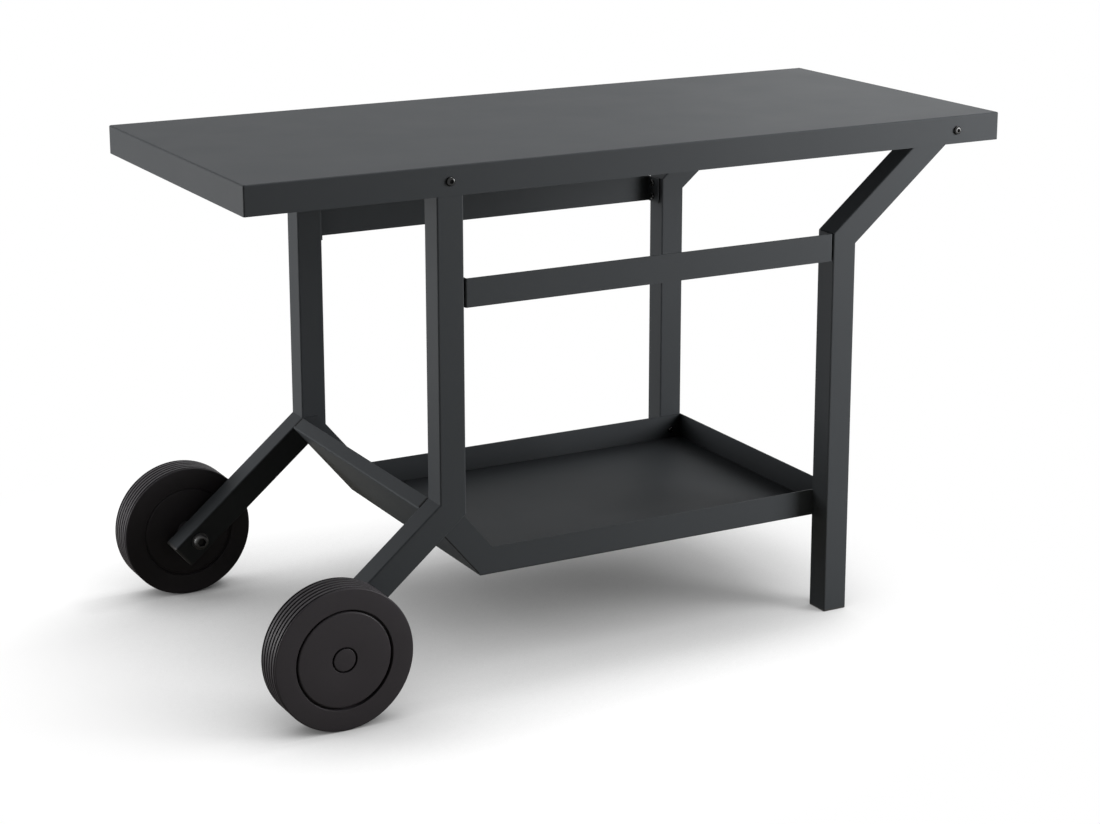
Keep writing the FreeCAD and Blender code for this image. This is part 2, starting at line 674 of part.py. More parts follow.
def wheel_centre():
    """Moulded wheel centre: two flat discs, a hub that reaches to the arm, and a chamber for the nut."""
    body = new_body("front_wheel_centre")
    half, face = "places.half_wheel", "places.disc_face"
    seat = "sizes.tyre_bore - sizes.fit_clearance"
    recess = "sizes.hub_cap_radius + sizes.hub_cap_groove"
    section = [("places.hub_inner", "places.hub_bore"), ("places.hub_inner", "sizes.hub_boss_radius"),
               (face, "sizes.hub_boss_radius"), (face, "sizes.disc_radius"),
               (half + " - sizes.rim_step", "sizes.disc_radius"), (half + " - sizes.rim_step", seat),
               ("sizes.rim_step - " + half, seat), ("sizes.rim_step - " + half, "sizes.disc_radius"),
               ("-" + face, "sizes.disc_radius"), ("-" + face, recess),
               ("places.cap_groove_floor", recess), ("places.cap_groove_floor", "sizes.hub_cap_radius"),
               ("places.cap_shelf", "sizes.hub_cap_radius"), ("places.cap_shelf", "sizes.nut_chamber_radius"),
               ("places.chamber_floor", "sizes.nut_chamber_radius"),
               ("places.chamber_floor", "places.hub_bore")]
    revolve(body, outline(body, "section", "YZ_Plane", section))
    edges = either(ring("sizes.disc_radius", face), ring("sizes.disc_radius", "-" + face))
    fillet(body, edges, "sizes.disc_edge", "edge")
    at_wheel(body)
    both_sides(body, "wheel_centre")


def hub_cap():
    """Push-in cap over the nut: a disc with a short skirt that grips the chamber's wall."""
    body = new_body("front_hub_cap")
    face = "-places.disc_face"
    skirt_end = "places.cap_shelf + sizes.hub_cap_skirt"
    skirt_inside = "places.cap_skirt_radius - sizes.hub_cap_wall"
    under = "-places.disc_face + sizes.hub_cap_wall"
    section = [(face, "0"), (face, "sizes.hub_cap_radius"), ("places.cap_shelf", "sizes.hub_cap_radius"),
               ("places.cap_shelf", "places.cap_skirt_radius"), (skirt_end, "places.cap_skirt_radius"),
               (skirt_end, skirt_inside), (under, skirt_inside), (under, "0")]
    revolve(body, outline(body, "section", "YZ_Plane", section))
    fillet(body, ring("sizes.hub_cap_radius", face), "sizes.hub_cap_round", "round")
    at_wheel(body)
    both_sides(body, "hub_cap")


def turned_ring(name, start, stop, inside, outside):
    """Plain ring about the axle, between two places along y."""
    body = new_body(name)
    section = [(start, inside), (stop, inside), (stop, outside), (start, outside)]
    revolve(body, outline(body, "section", "YZ_Plane", section))
    at_wheel(body)
    return body


def axles():
    """Stub axles: bolt from inside the arm, sleeve, washers and nut."""
    sleeve = turned_ring("axle_sleeve", "places.sleeve_out", "places.sleeve_in",
                         "places.axle_hole", "sizes.sleeve_diameter / 2")
    grouped([sleeve, mirror(sleeve, "axle_sleeve_rear")], "axle_sleeves")

    washers = []
    for tag, start, stop in (("nut", "places.nut_seat", "places.sleeve_out"),
                             ("head", "places.arm_back", "places.bolt_seat")):
        washer = turned_ring("washer_" + tag, start, stop, "places.axle_hole", "sizes.washer_diameter / 2")
        washers += [washer, mirror(washer, "washer_%s_rear" % tag)]
    grouped(washers, "axle_washers")

    bolt = new_body("axle_bolt")
    head_top = "places.bolt_seat + sizes.axle_head_height"
    head_radius = "sizes.axle_head_diameter / 2"
    section = [("places.bolt_end", "0"), ("places.bolt_end", "places.axle_radius"),
               ("places.bolt_seat", "places.axle_radius"), ("places.bolt_seat", head_radius),
               (head_top, head_radius), (head_top, "0")]
    revolve(bolt, outline(bolt, "section", "YZ_Plane", section))
    fillet(bolt, ring(head_radius, head_top), "sizes.axle_head_round", "dome")
    socket(bolt, "sizes.axle_socket", "sizes.axle_socket_depth", ("0", head_top, "0"), "-y")
    at_wheel(bolt)
    grouped([bolt, mirror(bolt, "axle_bolt_rear")], "axle_bolts")

    blank = doc.addObject("Part::Prism", "axle_nut_blank")
    blank.Polygon = HEXAGON_CORNERS
    bind(blank, "Circumradius", "sizes.axle_nut_flats / 2 / " + HEXAGON_RATIO)
    bind(blank, "Height", "sizes.axle_nut_height")
    thread = doc.addObject("Part::Cylinder", "axle_nut_thread")
    bind(thread, "Radius", "places.axle_radius + sizes.fit_clearance")
    bind(thread, "Height", "sizes.axle_nut_height")
    nut = doc.addObject("Part::Cut", "axle_nut")
    nut.Base = blank
    nut.Tool = thread
    place(nut, ("places.axle_x", "-places.wheel_y + places.nut_seat", "sizes.wheel_radius"), "-y")
    doc.recompute()
    grouped([nut, mirror(nut, "axle_nut_rear")], "axle_nuts")


def turned_fastener(name, section):
    """Small piece turned about its own z axis, from its half section as radius and height."""
    body = new_body(name)
    sketch = outline(body, "section", "XZ_Plane", section)
    feature = body.newObject("PartDesign::Revolution", name + "_turned")
    feature.Profile = sketch
    feature.ReferenceAxis = (sketch, ["V_Axis"])
    feature.Angle = 360
    doc.recompute()
    return body


def button_screw(name):
    """Button-head screw, its head's seat at z = 0 and its shank below, with the head's sizes under its name."""
    shank, head, height = "places.screw_radius", "sizes.%s_diameter / 2" % name, "sizes.%s_height" % name
    section = [("0", height), ("0", "-sizes.screw_length"), (shank, "-sizes.screw_length"),
               (shank, "0"), (head, "0"), (head, height)]
    body = turned_fastener(name + "_screw", section)
    top = number(height)
    fillet(body, lambda edge: edge.BoundBox.ZMin > top - 1e-6 and edge.BoundBox.XLength > top,
           "sizes.%s_round" % name, "dome")
    depth = "sizes.%s_socket_depth" % name
    socket(body, "sizes.%s_socket" % name, depth, ("0", "0", "%s - %s" % (height, depth)), "+z")
    return body


def blind_nut(name, diameter, flange=()):
    """Blind nut in a tube wall whose face is at z = 0, flush or with a flange that stands on the wall."""
    body_radius = diameter + " / 2 - sizes.fit_clearance"
    bulge_radius = diameter + " / 2 + sizes.nut_bulge"
    thread = "places.screw_radius + sizes.fit_clearance"
    wall = "-sizes.tube_wall - sizes.fit_clearance"
    bulge_end = "-sizes.tube_wall - sizes.nut_bulge_length"
    head = [(thread, "0")]
    if flange:
        reach, height = diameter + " / 2 + " + flange[0], flange[1]
        head = [(thread, height), (reach, height), (reach, "0")]
    return turned_fastener(name, head + [(body_radius, "0"), (body_radius, wall), (bulge_radius, wall),
                                         (body_radius, bulge_end), (body_radius, "-sizes.nut_length"),
                                         (thread, "-sizes.nut_length")])


def fasteners():
    """Screws of the top, the rails and the tray, and the blind nuts that they turn into."""
    top_spots, top_nut_spots = [], []
    rail_spots, tray_spots = [], []
    rail_nut_spots, tray_nut_spots = [], []
    for sign, outward, inward in (("-", "-y", "+y"), ("", "+y", "-y")):
        for x in ("places.wheel_leg_x", "places.top_screw_x"):
            top_spots.append(((x, sign + "sizes.table_width / 2", "places.bar_z"), outward))
            top_nut_spots.append(((x, sign + "places.leg_out", "places.bar_z"), outward))
        for step in ("-", "+"):
            height = "places.rail_mid %s sizes.rail_screw_pitch / 2" % step
            rail_y = sign + "places.rail_screw_y"
            rail_spots.append((("places.rail_left + sizes.rail_gauge", rail_y, height), "+x"))
            rail_spots.append((("places.rail_right - sizes.rail_gauge", rail_y, height), "-x"))
            rail_nut_spots.append((("places.wheel_leg_face", rail_y, height), "+x"))
            rail_nut_spots.append((("places.foot_leg_face", rail_y, height), "-x"))
        for x, z in (("places.foot_leg_x", "places.tray_screw_z"),
                     ("places.arm_screw_x", "places.arm_screw_z")):
            tray_spots.append(((x, sign + "(places.leg_in - sizes.tray_gauge)", z), inward))
            tray_nut_spots.append(((x, sign + "places.leg_in", z), inward))
    copies(button_screw("top_button"), "table_top_screws", top_spots)
    copies(blind_nut("top_nut", "sizes.top_nut_diameter"), "table_top_blind_nuts", top_nut_spots)
    button = button_screw("button")
    copies(button, "rail_screws", rail_spots)
    copies(button, "tray_screws", tray_spots)
    diameter, flange = "sizes.leg_nut_diameter", ("sizes.nut_flange_width", "sizes.nut_flange")
    rail_nuts = placed(blind_nut("rail_nut", diameter, flange), "rail_blind_nut", rail_nut_spots)
    tray_nuts = placed(blind_nut("tray_nut", diameter), "tray_blind_nut", tray_nut_spots)
    grouped(rail_nuts + tray_nuts, "leg_blind_nuts")


def write_pieces():
    """Checks every object and every piece, then writes one file for each piece."""
    for item in doc.Objects:
        if "Invalid" in item.State or "Error" in item.State:
            raise RuntimeError("%s failed: %s" % (item.Name, item.State))
    for name, item in nodes:
        if item.Shape.isNull() or not item.Shape.isValid() or not item.Shape.Solids:
            raise RuntimeError(name + " has no valid shape")
    os.makedirs("parts", exist_ok=True)
    for name, item in nodes:
        solids = item.Shape.Solids
        shape = solids[0] if len(solids) == 1 else item.Shape
        shape.exportStep("parts/%s.step" % name)
        print("%-28s %2d solids %12.1f mm3" % (name, len(solids), item.Shape.Volume))


fill_sheets()
table_top()
legs()
tube_plugs()
rails()
lower_tray()
tyre()
wheel_centre()
hub_cap()
axles()
fasteners()
doc.recompute()
write_pieces()
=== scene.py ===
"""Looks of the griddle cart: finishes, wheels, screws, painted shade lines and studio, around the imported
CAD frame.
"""

import logging
import math
from dataclasses import dataclass, field
from enum import Enum
from typing import Any, Iterable, Sequence

import bmesh
import bpy
from mathutils import Matrix, Vector

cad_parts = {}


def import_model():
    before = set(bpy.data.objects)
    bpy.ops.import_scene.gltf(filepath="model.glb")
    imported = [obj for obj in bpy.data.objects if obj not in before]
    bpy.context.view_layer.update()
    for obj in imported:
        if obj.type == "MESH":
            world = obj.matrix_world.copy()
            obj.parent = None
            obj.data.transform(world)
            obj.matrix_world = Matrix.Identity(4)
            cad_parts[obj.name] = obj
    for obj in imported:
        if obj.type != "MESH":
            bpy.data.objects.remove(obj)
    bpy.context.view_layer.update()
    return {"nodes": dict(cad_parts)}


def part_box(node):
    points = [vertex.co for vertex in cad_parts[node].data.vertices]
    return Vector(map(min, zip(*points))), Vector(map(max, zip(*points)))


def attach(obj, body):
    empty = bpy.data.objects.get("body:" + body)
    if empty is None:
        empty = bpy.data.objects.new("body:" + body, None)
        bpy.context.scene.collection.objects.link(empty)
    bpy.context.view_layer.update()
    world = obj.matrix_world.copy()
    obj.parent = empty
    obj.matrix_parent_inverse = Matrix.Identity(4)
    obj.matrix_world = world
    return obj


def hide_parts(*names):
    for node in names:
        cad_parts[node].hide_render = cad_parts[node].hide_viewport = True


LOG = logging.getLogger("griddle_cart")
PHOTO_WIDTH = 1100.0
MM = 0.001

Colour = tuple[float, float, float, float]
Point = tuple[float, float, float]
Corner = tuple[float, float, float]


class Slot(Enum):
    """Material slots of the record."""

    POWDER_COAT = "powder_coat"
    TYRE_RUBBER = "tyre_rubber"
    WHEEL_PLASTIC = "wheel_plastic"
    CAP_PLASTIC = "cap_plastic"
    BLACK_SCREWS = "black_screws"
    ZINC_STEEL = "zinc_steel"


class Side(Enum):
    """Long sides of the cart, with the sign of their y."""

    FRONT = -1
    REAR = 1

    @property
    def label(self) -> str:
        """Word that the side's pieces start with."""
        return self.name.lower()


class Facing(Enum):
    """Directions that a screw head can face."""

    LEFT = (-1.0, 0.0, 0.0)
    RIGHT = (1.0, 0.0, 0.0)
    FRONT = (0.0, -1.0, 0.0)
    REAR = (0.0, 1.0, 0.0)


def grey(value: float, red: float = 0.0, blue: float = 0.0) -> Colour:
    """Near-grey in linear light, with its red and its blue raised or lowered by a share."""
    return (value * (1.0 + red), value, value * (1.0 + blue), 1.0)


class NodeBench:
    """Adds and joins the nodes of one tree."""

    def __init__(self, tree: bpy.types.NodeTree) -> None:
        """Takes a tree and empties it."""
        self.tree = tree
        tree.nodes.clear()

    def add(self, kind: str, values: dict[Any, Any] | None = None, **settings: Any) -> bpy.types.Node:
        """Adds a node.

        Args:
            kind: Blender's name for the type of node.
            values: what goes into its inputs, by name or number. An output socket is joined to
                the input.
            settings: the node's own properties.

        Returns:
            The new node.
        """
        node = self.tree.nodes.new(kind)
        for key, value in settings.items():
            setattr(node, key, value)
        for key, value in (values or {}).items():
            if isinstance(value, bpy.types.NodeSocket):
                self.tree.links.new(value, node.inputs[key])
            else:
                node.inputs[key].default_value = value
        return node

    def maths(self, operation: str, *values: Any, clamp: bool = False) -> bpy.types.NodeSocket:
        """Adds a Math node.

        Args:
            operation: Blender's name for the sum.
            values: numbers or output sockets.
            clamp: keeps the result between 0 and 1.

        Returns:
            The node's result.
        """
        node = self.add("ShaderNodeMath", dict(enumerate(values)), operation=operation, use_clamp=clamp)
        return node.outputs[0]

    def blend(self, share: bpy.types.NodeSocket, first: Any, second: Any) -> bpy.types.NodeSocket:
        """Mixes two colours.

        Args:
            share: how much of the second colour there is, from 0 to 1.
            first: colour or output socket where the share is 0.
            second: colour or output socket where it is 1.

        Returns:
            The mixed colour.
        """
        # The Mix node's inputs 6 and 7 and its output 2 are those for colours
        node = self.add("ShaderNodeMix", {0: share, 6: first, 7: second}, data_type="RGBA")
        return node.outputs[2]

    def socket(self, name: str, kind: str, side: str = "INPUT", value: Any = None) -> None:
        """Adds a named socket to the tree's own inputs or outputs.

        Args:
            name: the socket's name.
            kind: its type, such as Float or Vector.
            side: INPUT or OUTPUT.
            value: what an input holds before it is set.
        """
        made = self.tree.interface.new_socket(name, in_out=side, socket_type="NodeSocket" + kind)
        if value is not None:
            made.default_value = value


class SharedEffects:
    """Shader groups that several finishes share."""

    noise_roughness: float = 0.55
    noise_range: dict[str, float] = {"From Min": 0.3, "From Max": 0.7}
    gloss_offset: Point = (3.1, 1.7, 2.3)
    gloss_share: float = 0.35
    streak_turn: Point = (0.3, 0.5, 0.4)
    streak_stretch: Point = (1.0, 14.0, 6.0)
    streak_range: dict[str, float] = {"From Min": 0.62, "From Max": 0.78}
    patch_range: dict[str, float] = {"From Min": 0.5, "From Max": 0.7}
    patch_share: float = 3.0
    recess_samples: int = 8

    def __init__(self) -> None:
        """Builds the groups once."""
        self.uneven_tone = self._uneven_tone()
        self.fine_relief = self._fine_relief()
        self.handling_marks = self._handling_marks()
        self.recess_shade = self._recess_shade()

    @staticmethod
    def _group(name: str) -> NodeBench:
        """Starts an empty shader group."""
        return NodeBench(bpy.data.node_groups.new(name, "ShaderNodeTree"))

    def _noise(self, bench: NodeBench, where: bpy.types.NodeSocket, size: bpy.types.NodeSocket,
               detail: float, share: float = 1.0) -> bpy.types.NodeSocket:
        """Adds noise with features of a given size.

        Args:
            bench: the group's bench.
            where: coordinates in metres.
            size: features' size in metres.
            detail: octaves of the noise.
            share: the features' size as a share of the given one.

        Returns:
            The noise, around 0.5.
        """
        scale = bench.maths("DIVIDE", 1.0 / share, size)
        values = {"Vector": where, "Scale": scale, "Detail": detail, "Roughness": self.noise_roughness}
        return bench.add("ShaderNodeTexNoise", values).outputs["Fac"]

    def _uneven_tone(self) -> bpy.types.NodeTree:
        """Broad, faint clouds in colour and gloss, as any sprayed or moulded surface has.

        Returns:
            The group.
        """
        bench = self._group("uneven_tone")
        bench.socket("Vector", "Vector")
        bench.socket("Cloud Size", "Float", value=0.2)
        bench.socket("Dark Tone", "Color")
        bench.socket("Light Tone", "Color")
        bench.socket("Smooth", "Float", value=0.4)
        bench.socket("Rough", "Float", value=0.5)
        bench.socket("Colour", "Color", "OUTPUT")
        bench.socket("Roughness", "Float", "OUTPUT")
        given = bench.add("NodeGroupInput").outputs
        cloud = self._noise(bench, given["Vector"], given["Cloud Size"], detail=3.0)
        spread = bench.add("ShaderNodeMapRange", {"Value": cloud, **self.noise_range})
        shifted = bench.add("ShaderNodeVectorMath", {0: given["Vector"], 1: self.gloss_offset})
        gloss = self._noise(bench, shifted.outputs[0], given["Cloud Size"], detail=4.0,
                            share=self.gloss_share)
        rough = bench.add("ShaderNodeMapRange", {
            "Value": gloss, **self.noise_range, "To Min": given["Smooth"], "To Max": given["Rough"]})
        tone = bench.blend(spread.outputs[0], given["Dark Tone"], given["Light Tone"])
        bench.add("NodeGroupOutput", {"Colour": tone, "Roughness": rough.outputs[0]})
        return bench.tree

    def _fine_relief(self) -> bpy.types.NodeTree:
        """Fine grain over a wider ripple, for bump.

        Returns:
            The group.
        """
        bench = self._group("fine_relief")
        bench.socket("Vector", "Vector")
        bench.socket("Grain Size", "Float", value=0.0008)
        bench.socket("Ripple Size", "Float", value=0.004)
        bench.socket("Ripple Share", "Float", value=0.5)
        bench.socket("Height", "Float", "OUTPUT")
        given = bench.add("NodeGroupInput").outputs
        grain = self._noise(bench, given["Vector"], given["Grain Size"], detail=2.0)
        ripple = self._noise(bench, given["Vector"], given["Ripple Size"], detail=1.0)
        mixed = bench.add("ShaderNodeMix", {0: given["Ripple Share"], 2: grain, 3: ripple})
        bench.add("NodeGroupOutput", {"Height": mixed.outputs[0]})
        return bench.tree

    def _handling_marks(self) -> bpy.types.NodeTree:
        """Sparse, faint streaks, as a mask that is 0 on clean surface.

        Returns:
            The group.
        """
        bench = self._group("handling_marks")
        bench.socket("Vector", "Vector")
        bench.socket("Mark Size", "Float", value=0.05)
        bench.socket("Amount", "Float", value=0.2)
        bench.socket("Mask", "Float", "OUTPUT")
        given = bench.add("NodeGroupInput").outputs
        drawn = bench.add("ShaderNodeMapping", {
            "Vector": given["Vector"], "Rotation": self.streak_turn, "Scale": self.streak_stretch})
        streak = self._noise(bench, drawn.outputs[0], given["Mark Size"], detail=3.0)
        where = self._noise(bench, given["Vector"], given["Mark Size"], detail=1.0,
                            share=self.patch_share)
        sharp = bench.add("ShaderNodeMapRange", {"Value": streak, **self.streak_range})
        near = bench.add("ShaderNodeMapRange", {"Value": where, **self.patch_range})
        mask = bench.maths("MULTIPLY", sharp.outputs[0], near.outputs[0])
        bench.add("NodeGroupOutput", {"Mask": bench.maths("MULTIPLY", mask, given["Amount"])})
        return bench.tree

    def _recess_shade(self) -> bpy.types.NodeTree:
        """Painted shade: darker base colour in a piece's own recesses and inside corners, from ambient
        occlusion.

        Returns:
            The group.
        """
        bench = self._group("recess_shade")
        bench.socket("Colour", "Color")
        bench.socket("Reach", "Float", value=0.004)
        bench.socket("Depth", "Float", value=1.0)
        bench.socket("Colour", "Color", "OUTPUT")
        given = bench.add("NodeGroupInput").outputs
        # Painted shade: occlusion by the piece itself darkens its colour where less light would reach
        openness = bench.add("ShaderNodeAmbientOcclusion", {"Distance": given["Reach"]},
                             samples=self.recess_samples, only_local=True)
        kept = bench.maths("POWER", openness.outputs["AO"], given["Depth"])
        bench.add("NodeGroupOutput", {"Colour": bench.blend(kept, grey(0.0), given["Colour"])})
        return bench.tree


@dataclass(frozen=True)
class Finish:
    """A surface: its tones, its gloss and its relief, with sizes in metres."""

    name: str
    dark_tone: Colour
    light_tone: Colour
    smooth: float
    rough: float
    cloud_size: float
    grain_size: float
    ripple_size: float
    ripple_share: float
    relief: float
    mark_size: float
    marks: float
    mark_tone: Colour
    specular: float = 0.5
    metallic: float = 0.0
    # Reach and depth of the painted recess shade that darkens the base colour
    recess_reach: float = 0.004
    recess_depth: float = 1.0
    mark_polish: float = 0.25

    def material(self, effects: SharedEffects) -> bpy.types.Material:
        """Builds the finish's node material.

        Args:
            effects: the shared shader groups.

        Returns:
            The material.
        """
        material = bpy.data.materials.new(self.name)
        material.use_nodes = True
        material.diffuse_color = self.light_tone
        bench = NodeBench(material.node_tree)
        where = bench.add("ShaderNodeTexCoord").outputs["Object"]
        tone = bench.add("ShaderNodeGroup", {
            "Vector": where, "Cloud Size": self.cloud_size, "Dark Tone": self.dark_tone,
            "Light Tone": self.light_tone, "Smooth": self.smooth, "Rough": self.rough},
            node_tree=effects.uneven_tone)
        relief = bench.add("ShaderNodeGroup", {
            "Vector": where, "Grain Size": self.grain_size, "Ripple Size": self.ripple_size,
            "Ripple Share": self.ripple_share}, node_tree=effects.fine_relief)
        marks = bench.add("ShaderNodeGroup", {
            "Vector": where, "Mark Size": self.mark_size, "Amount": self.marks},
            node_tree=effects.handling_marks)
        colour = bench.blend(marks.outputs["Mask"], tone.outputs["Colour"], self.mark_tone)
        # Painted shade: the colour is darkened in the piece's recesses and inside corners
        shade = bench.add("ShaderNodeGroup", {
            "Colour": colour, "Reach": self.recess_reach, "Depth": self.recess_depth},
            node_tree=effects.recess_shade)
        polish = bench.maths("MULTIPLY", marks.outputs["Mask"], self.mark_polish)
        gloss = bench.maths("SUBTRACT", tone.outputs["Roughness"], polish, clamp=True)
        bump = bench.add("ShaderNodeBump", {"Height": relief.outputs["Height"], "Distance": self.relief,
                                            "Strength": 1.0})
        shader = bench.add("ShaderNodeBsdfPrincipled", {
            "Base Color": shade.outputs["Colour"], "Roughness": gloss, "Normal": bump.outputs[0],
            "Specular IOR Level": self.specular, "Metallic": self.metallic})
        bench.add("ShaderNodeOutputMaterial", {"Surface": shader.outputs[0]})
        return material


# Every finish gets painted recess shade: the coat over a wide reach into inside corners, the tyre in its
# grooves, the screws and bolts strongly in their sockets
POWDER_COAT = Finish(
    "satin_powder_coat", grey(0.0395, -0.08, 0.09), grey(0.0415, -0.08, 0.09),
    smooth=0.53, rough=0.56, cloud_size=0.30,
    grain_size=0.0011, ripple_size=0.0042, ripple_share=0.55, relief=0.00004,
    mark_size=0.05, marks=0.03, mark_tone=grey(0.07, -0.05, 0.05),
    specular=0.084, recess_reach=0.05)
TYRE_RUBBER = Finish(
    "tyre_rubber_black", grey(0.0275, 0.11, 0.12), grey(0.0295, 0.11, 0.12),
    smooth=0.45, rough=0.51, cloud_size=0.05,
    grain_size=0.0007, ripple_size=0.0032, ripple_share=0.35, relief=0.00007,
    mark_size=0.02, marks=0.10, mark_tone=grey(0.04, 0.06, 0.03),
    specular=0.14, recess_depth=1.5)
WHEEL_PLASTIC = Finish(
    "wheel_centre_plastic", grey(0.0285, 0.11, 0.12), grey(0.0303, 0.11, 0.12),
    smooth=0.45, rough=0.51, cloud_size=0.06,
    grain_size=0.0006, ripple_size=0.0050, ripple_share=0.30, relief=0.00005,
    mark_size=0.02, marks=0.06, mark_tone=grey(0.04),
    specular=0.14)
CAP_PLASTIC = Finish(
    "plug_plastic", grey(0.020), grey(0.025),
    smooth=0.46, rough=0.60, cloud_size=0.03,
    grain_size=0.0005, ripple_size=0.0030, ripple_share=0.35, relief=0.00005,
    mark_size=0.015, marks=0.10, mark_tone=grey(0.07),
    specular=0.35)
BLACK_SCREWS = Finish(
    "blackened_screw_steel", grey(0.028), grey(0.034),
    smooth=0.16, rough=0.22, cloud_size=0.004,
    grain_size=0.0003, ripple_size=0.0012, ripple_share=0.3, relief=0.00001,
    mark_size=0.004, marks=0.10, mark_tone=grey(0.06),
    metallic=1.0, recess_reach=0.005, recess_depth=2.5)
BOLT_STEEL = Finish(
    "dull_bolt_steel", grey(0.062), grey(0.078),
    smooth=0.38, rough=0.48, cloud_size=0.006,
    grain_size=0.0003, ripple_size=0.0015, ripple_share=0.3, relief=0.00002,
    mark_size=0.005, marks=0.3, mark_tone=grey(0.06),
    metallic=1.0, recess_reach=0.009, recess_depth=2.5)
# Near-black finish of the painted shade lines that stand for dark gaps on the tray
GAP_SHADE = Finish(
    "dark_joint_sealer", grey(0.005), grey(0.008),
    smooth=0.60, rough=0.70, cloud_size=0.01,
    grain_size=0.0004, ripple_size=0.0015, ripple_share=0.3, relief=0.00001,
    mark_size=0.01, marks=0.05, mark_tone=grey(0.012),
    specular=0.10)
ZINC_STEEL = Finish(
    "zinc_plated_steel", grey(0.50, 0.01, -0.01), grey(0.58, 0.01, -0.01),
    smooth=0.26, rough=0.42, cloud_size=0.006,
    grain_size=0.0003, ripple_size=0.0015, ripple_share=0.3, relief=0.00002,
    mark_size=0.006, marks=0.4, mark_tone=grey(0.36),
    metallic=1.0)


@dataclass
class Paintbox:
    """Every finish as a material: one for each slot, and two more for the axle bolts and the painted shade
    lines.
    """

    effects: SharedEffects
    materials: dict[Slot, bpy.types.Material] = field(default_factory=dict)
    bolt_steel: bpy.types.Material | None = None
    joint_sealer: bpy.types.Material | None = None

    def mix(self) -> None:
        """Builds all the materials."""
        self.bolt_steel = BOLT_STEEL.material(self.effects)
        self.joint_sealer = GAP_SHADE.material(self.effects)
        for slot, finish in ((Slot.POWDER_COAT, POWDER_COAT), (Slot.TYRE_RUBBER, TYRE_RUBBER),
                             (Slot.WHEEL_PLASTIC, WHEEL_PLASTIC), (Slot.CAP_PLASTIC, CAP_PLASTIC),
                             (Slot.BLACK_SCREWS, BLACK_SCREWS), (Slot.ZINC_STEEL, ZINC_STEEL)):
            self.materials[slot] = finish.material(self.effects)

    def dress(self, node: bpy.types.Object, slot: Slot,
              material: bpy.types.Material | None = None) -> None:
        """Puts a finish on every slot of a CAD node.

        Args:
            node: the node's object.
            slot: the finish it gets.
            material: what it wears instead of the slot's own material.
        """
        for holder in node.material_slots:
            holder.material = material or self.materials[slot]
        LOG.info("%s dressed in %s", node.name, slot.value)


class ShapeTrees:
    """Geometry Nodes trees that make the turned pieces and set out the screws."""

    weld_distance: float = 2e-6

    def __init__(self) -> None:
        """Builds the trees once."""
        self.turned = self._turned()
        self.screw_set = self._screw_set()

    @staticmethod
    def _finished(bench: NodeBench, shape: bpy.types.NodeSocket, finish: bpy.types.NodeSocket) -> None:
        """Ends a tree in plain geometry with its material.

        Args:
            bench: the tree's bench.
            shape: the geometry made so far.
            finish: the tree's material input.
        """
        plain = bench.add("GeometryNodeRealizeInstances", {"Geometry": shape})
        dressed = bench.add("GeometryNodeSetMaterial",
                            {"Geometry": plain.outputs[0], "Material": finish})
        bench.add("NodeGroupOutput", {"Geometry": dressed.outputs[0]})

    def _turned(self) -> bpy.types.NodeTree:
        """Turns a section about a wheel's axle.

        Returns:
            The tree. It takes a chain of edges, with x outwards from the lathe's circle and y along
            the axle.
        """
        bench = NodeBench(bpy.data.node_groups.new("turned_piece", "GeometryNodeTree"))
        bench.socket("Geometry", "Geometry")
        bench.socket("Steps", "Int", value=128)
        bench.socket("Circle", "Float", value=0.05)
        bench.socket("Centre", "Vector")
        bench.socket("Finish", "Material")
        bench.socket("Geometry", "Geometry", "OUTPUT")
        given = bench.add("NodeGroupInput").outputs
        section = bench.add("GeometryNodeMeshToCurve", {"Mesh": given["Geometry"]}).outputs[0]
        circle = bench.add("GeometryNodeCurvePrimitiveCircle",
                           {"Resolution": given["Steps"], "Radius": given["Circle"]})
        level = bench.add("GeometryNodeSetCurveNormal", {"Curve": circle.outputs[0]}, mode="Z_UP")
        swept = bench.add("GeometryNodeCurveToMesh",
                          {"Curve": level.outputs[0], "Profile Curve": section})
        closed = bench.add("GeometryNodeMergeByDistance",
                           {"Geometry": swept.outputs[0], "Distance": self.weld_distance})
        stood = bench.add("GeometryNodeTransform", {
            "Geometry": closed.outputs[0], "Translation": given["Centre"],
            "Rotation": (math.pi / 2.0, 0.0, 0.0)})
        soft = bench.add("GeometryNodeSetShadeSmooth", {"Geometry": stood.outputs[0]})
        self._finished(bench, soft.outputs[0], given["Finish"])
        return bench.tree

    def _screw_set(self) -> bpy.types.NodeTree:
        """Sets copies of one screw on points, each along its point's facing and with its own turn.

        Returns:
            The tree.
        """
        bench = NodeBench(bpy.data.node_groups.new("screw_set", "GeometryNodeTree"))
        bench.socket("Geometry", "Geometry")
        bench.socket("Screw", "Object")
        bench.socket("Turn Seed", "Int", value=7)
        bench.socket("Finish", "Material")
        bench.socket("Geometry", "Geometry", "OUTPUT")
        given = bench.add("NodeGroupInput").outputs
        facing = bench.add("GeometryNodeInputNamedAttribute", {"Name": "facing"},
                           data_type="FLOAT_VECTOR")
        aimed = bench.add("FunctionNodeAlignRotationToVector", {"Vector": facing.outputs[0]}, axis="Z")
        angle = bench.add("FunctionNodeRandomValue", {2: 0.0, 3: math.tau, "Seed": given["Turn Seed"]},
                          data_type="FLOAT").outputs[1]
        spin = bench.add("FunctionNodeAxisAngleToRotation", {"Axis": (0.0, 0.0, 1.0), "Angle": angle})
        turned = bench.add("FunctionNodeRotateRotation", {0: aimed.outputs[0], 1: spin.outputs[0]},
                           rotation_space="LOCAL")
        screw = bench.add("GeometryNodeObjectInfo", {"Object": given["Screw"]})
        copies = bench.add("GeometryNodeInstanceOnPoints", {
            "Points": given["Geometry"], "Instance": screw.outputs["Geometry"],
            "Rotation": turned.outputs[0]})
        self._finished(bench, copies.outputs[0], given["Finish"])
        return bench.tree


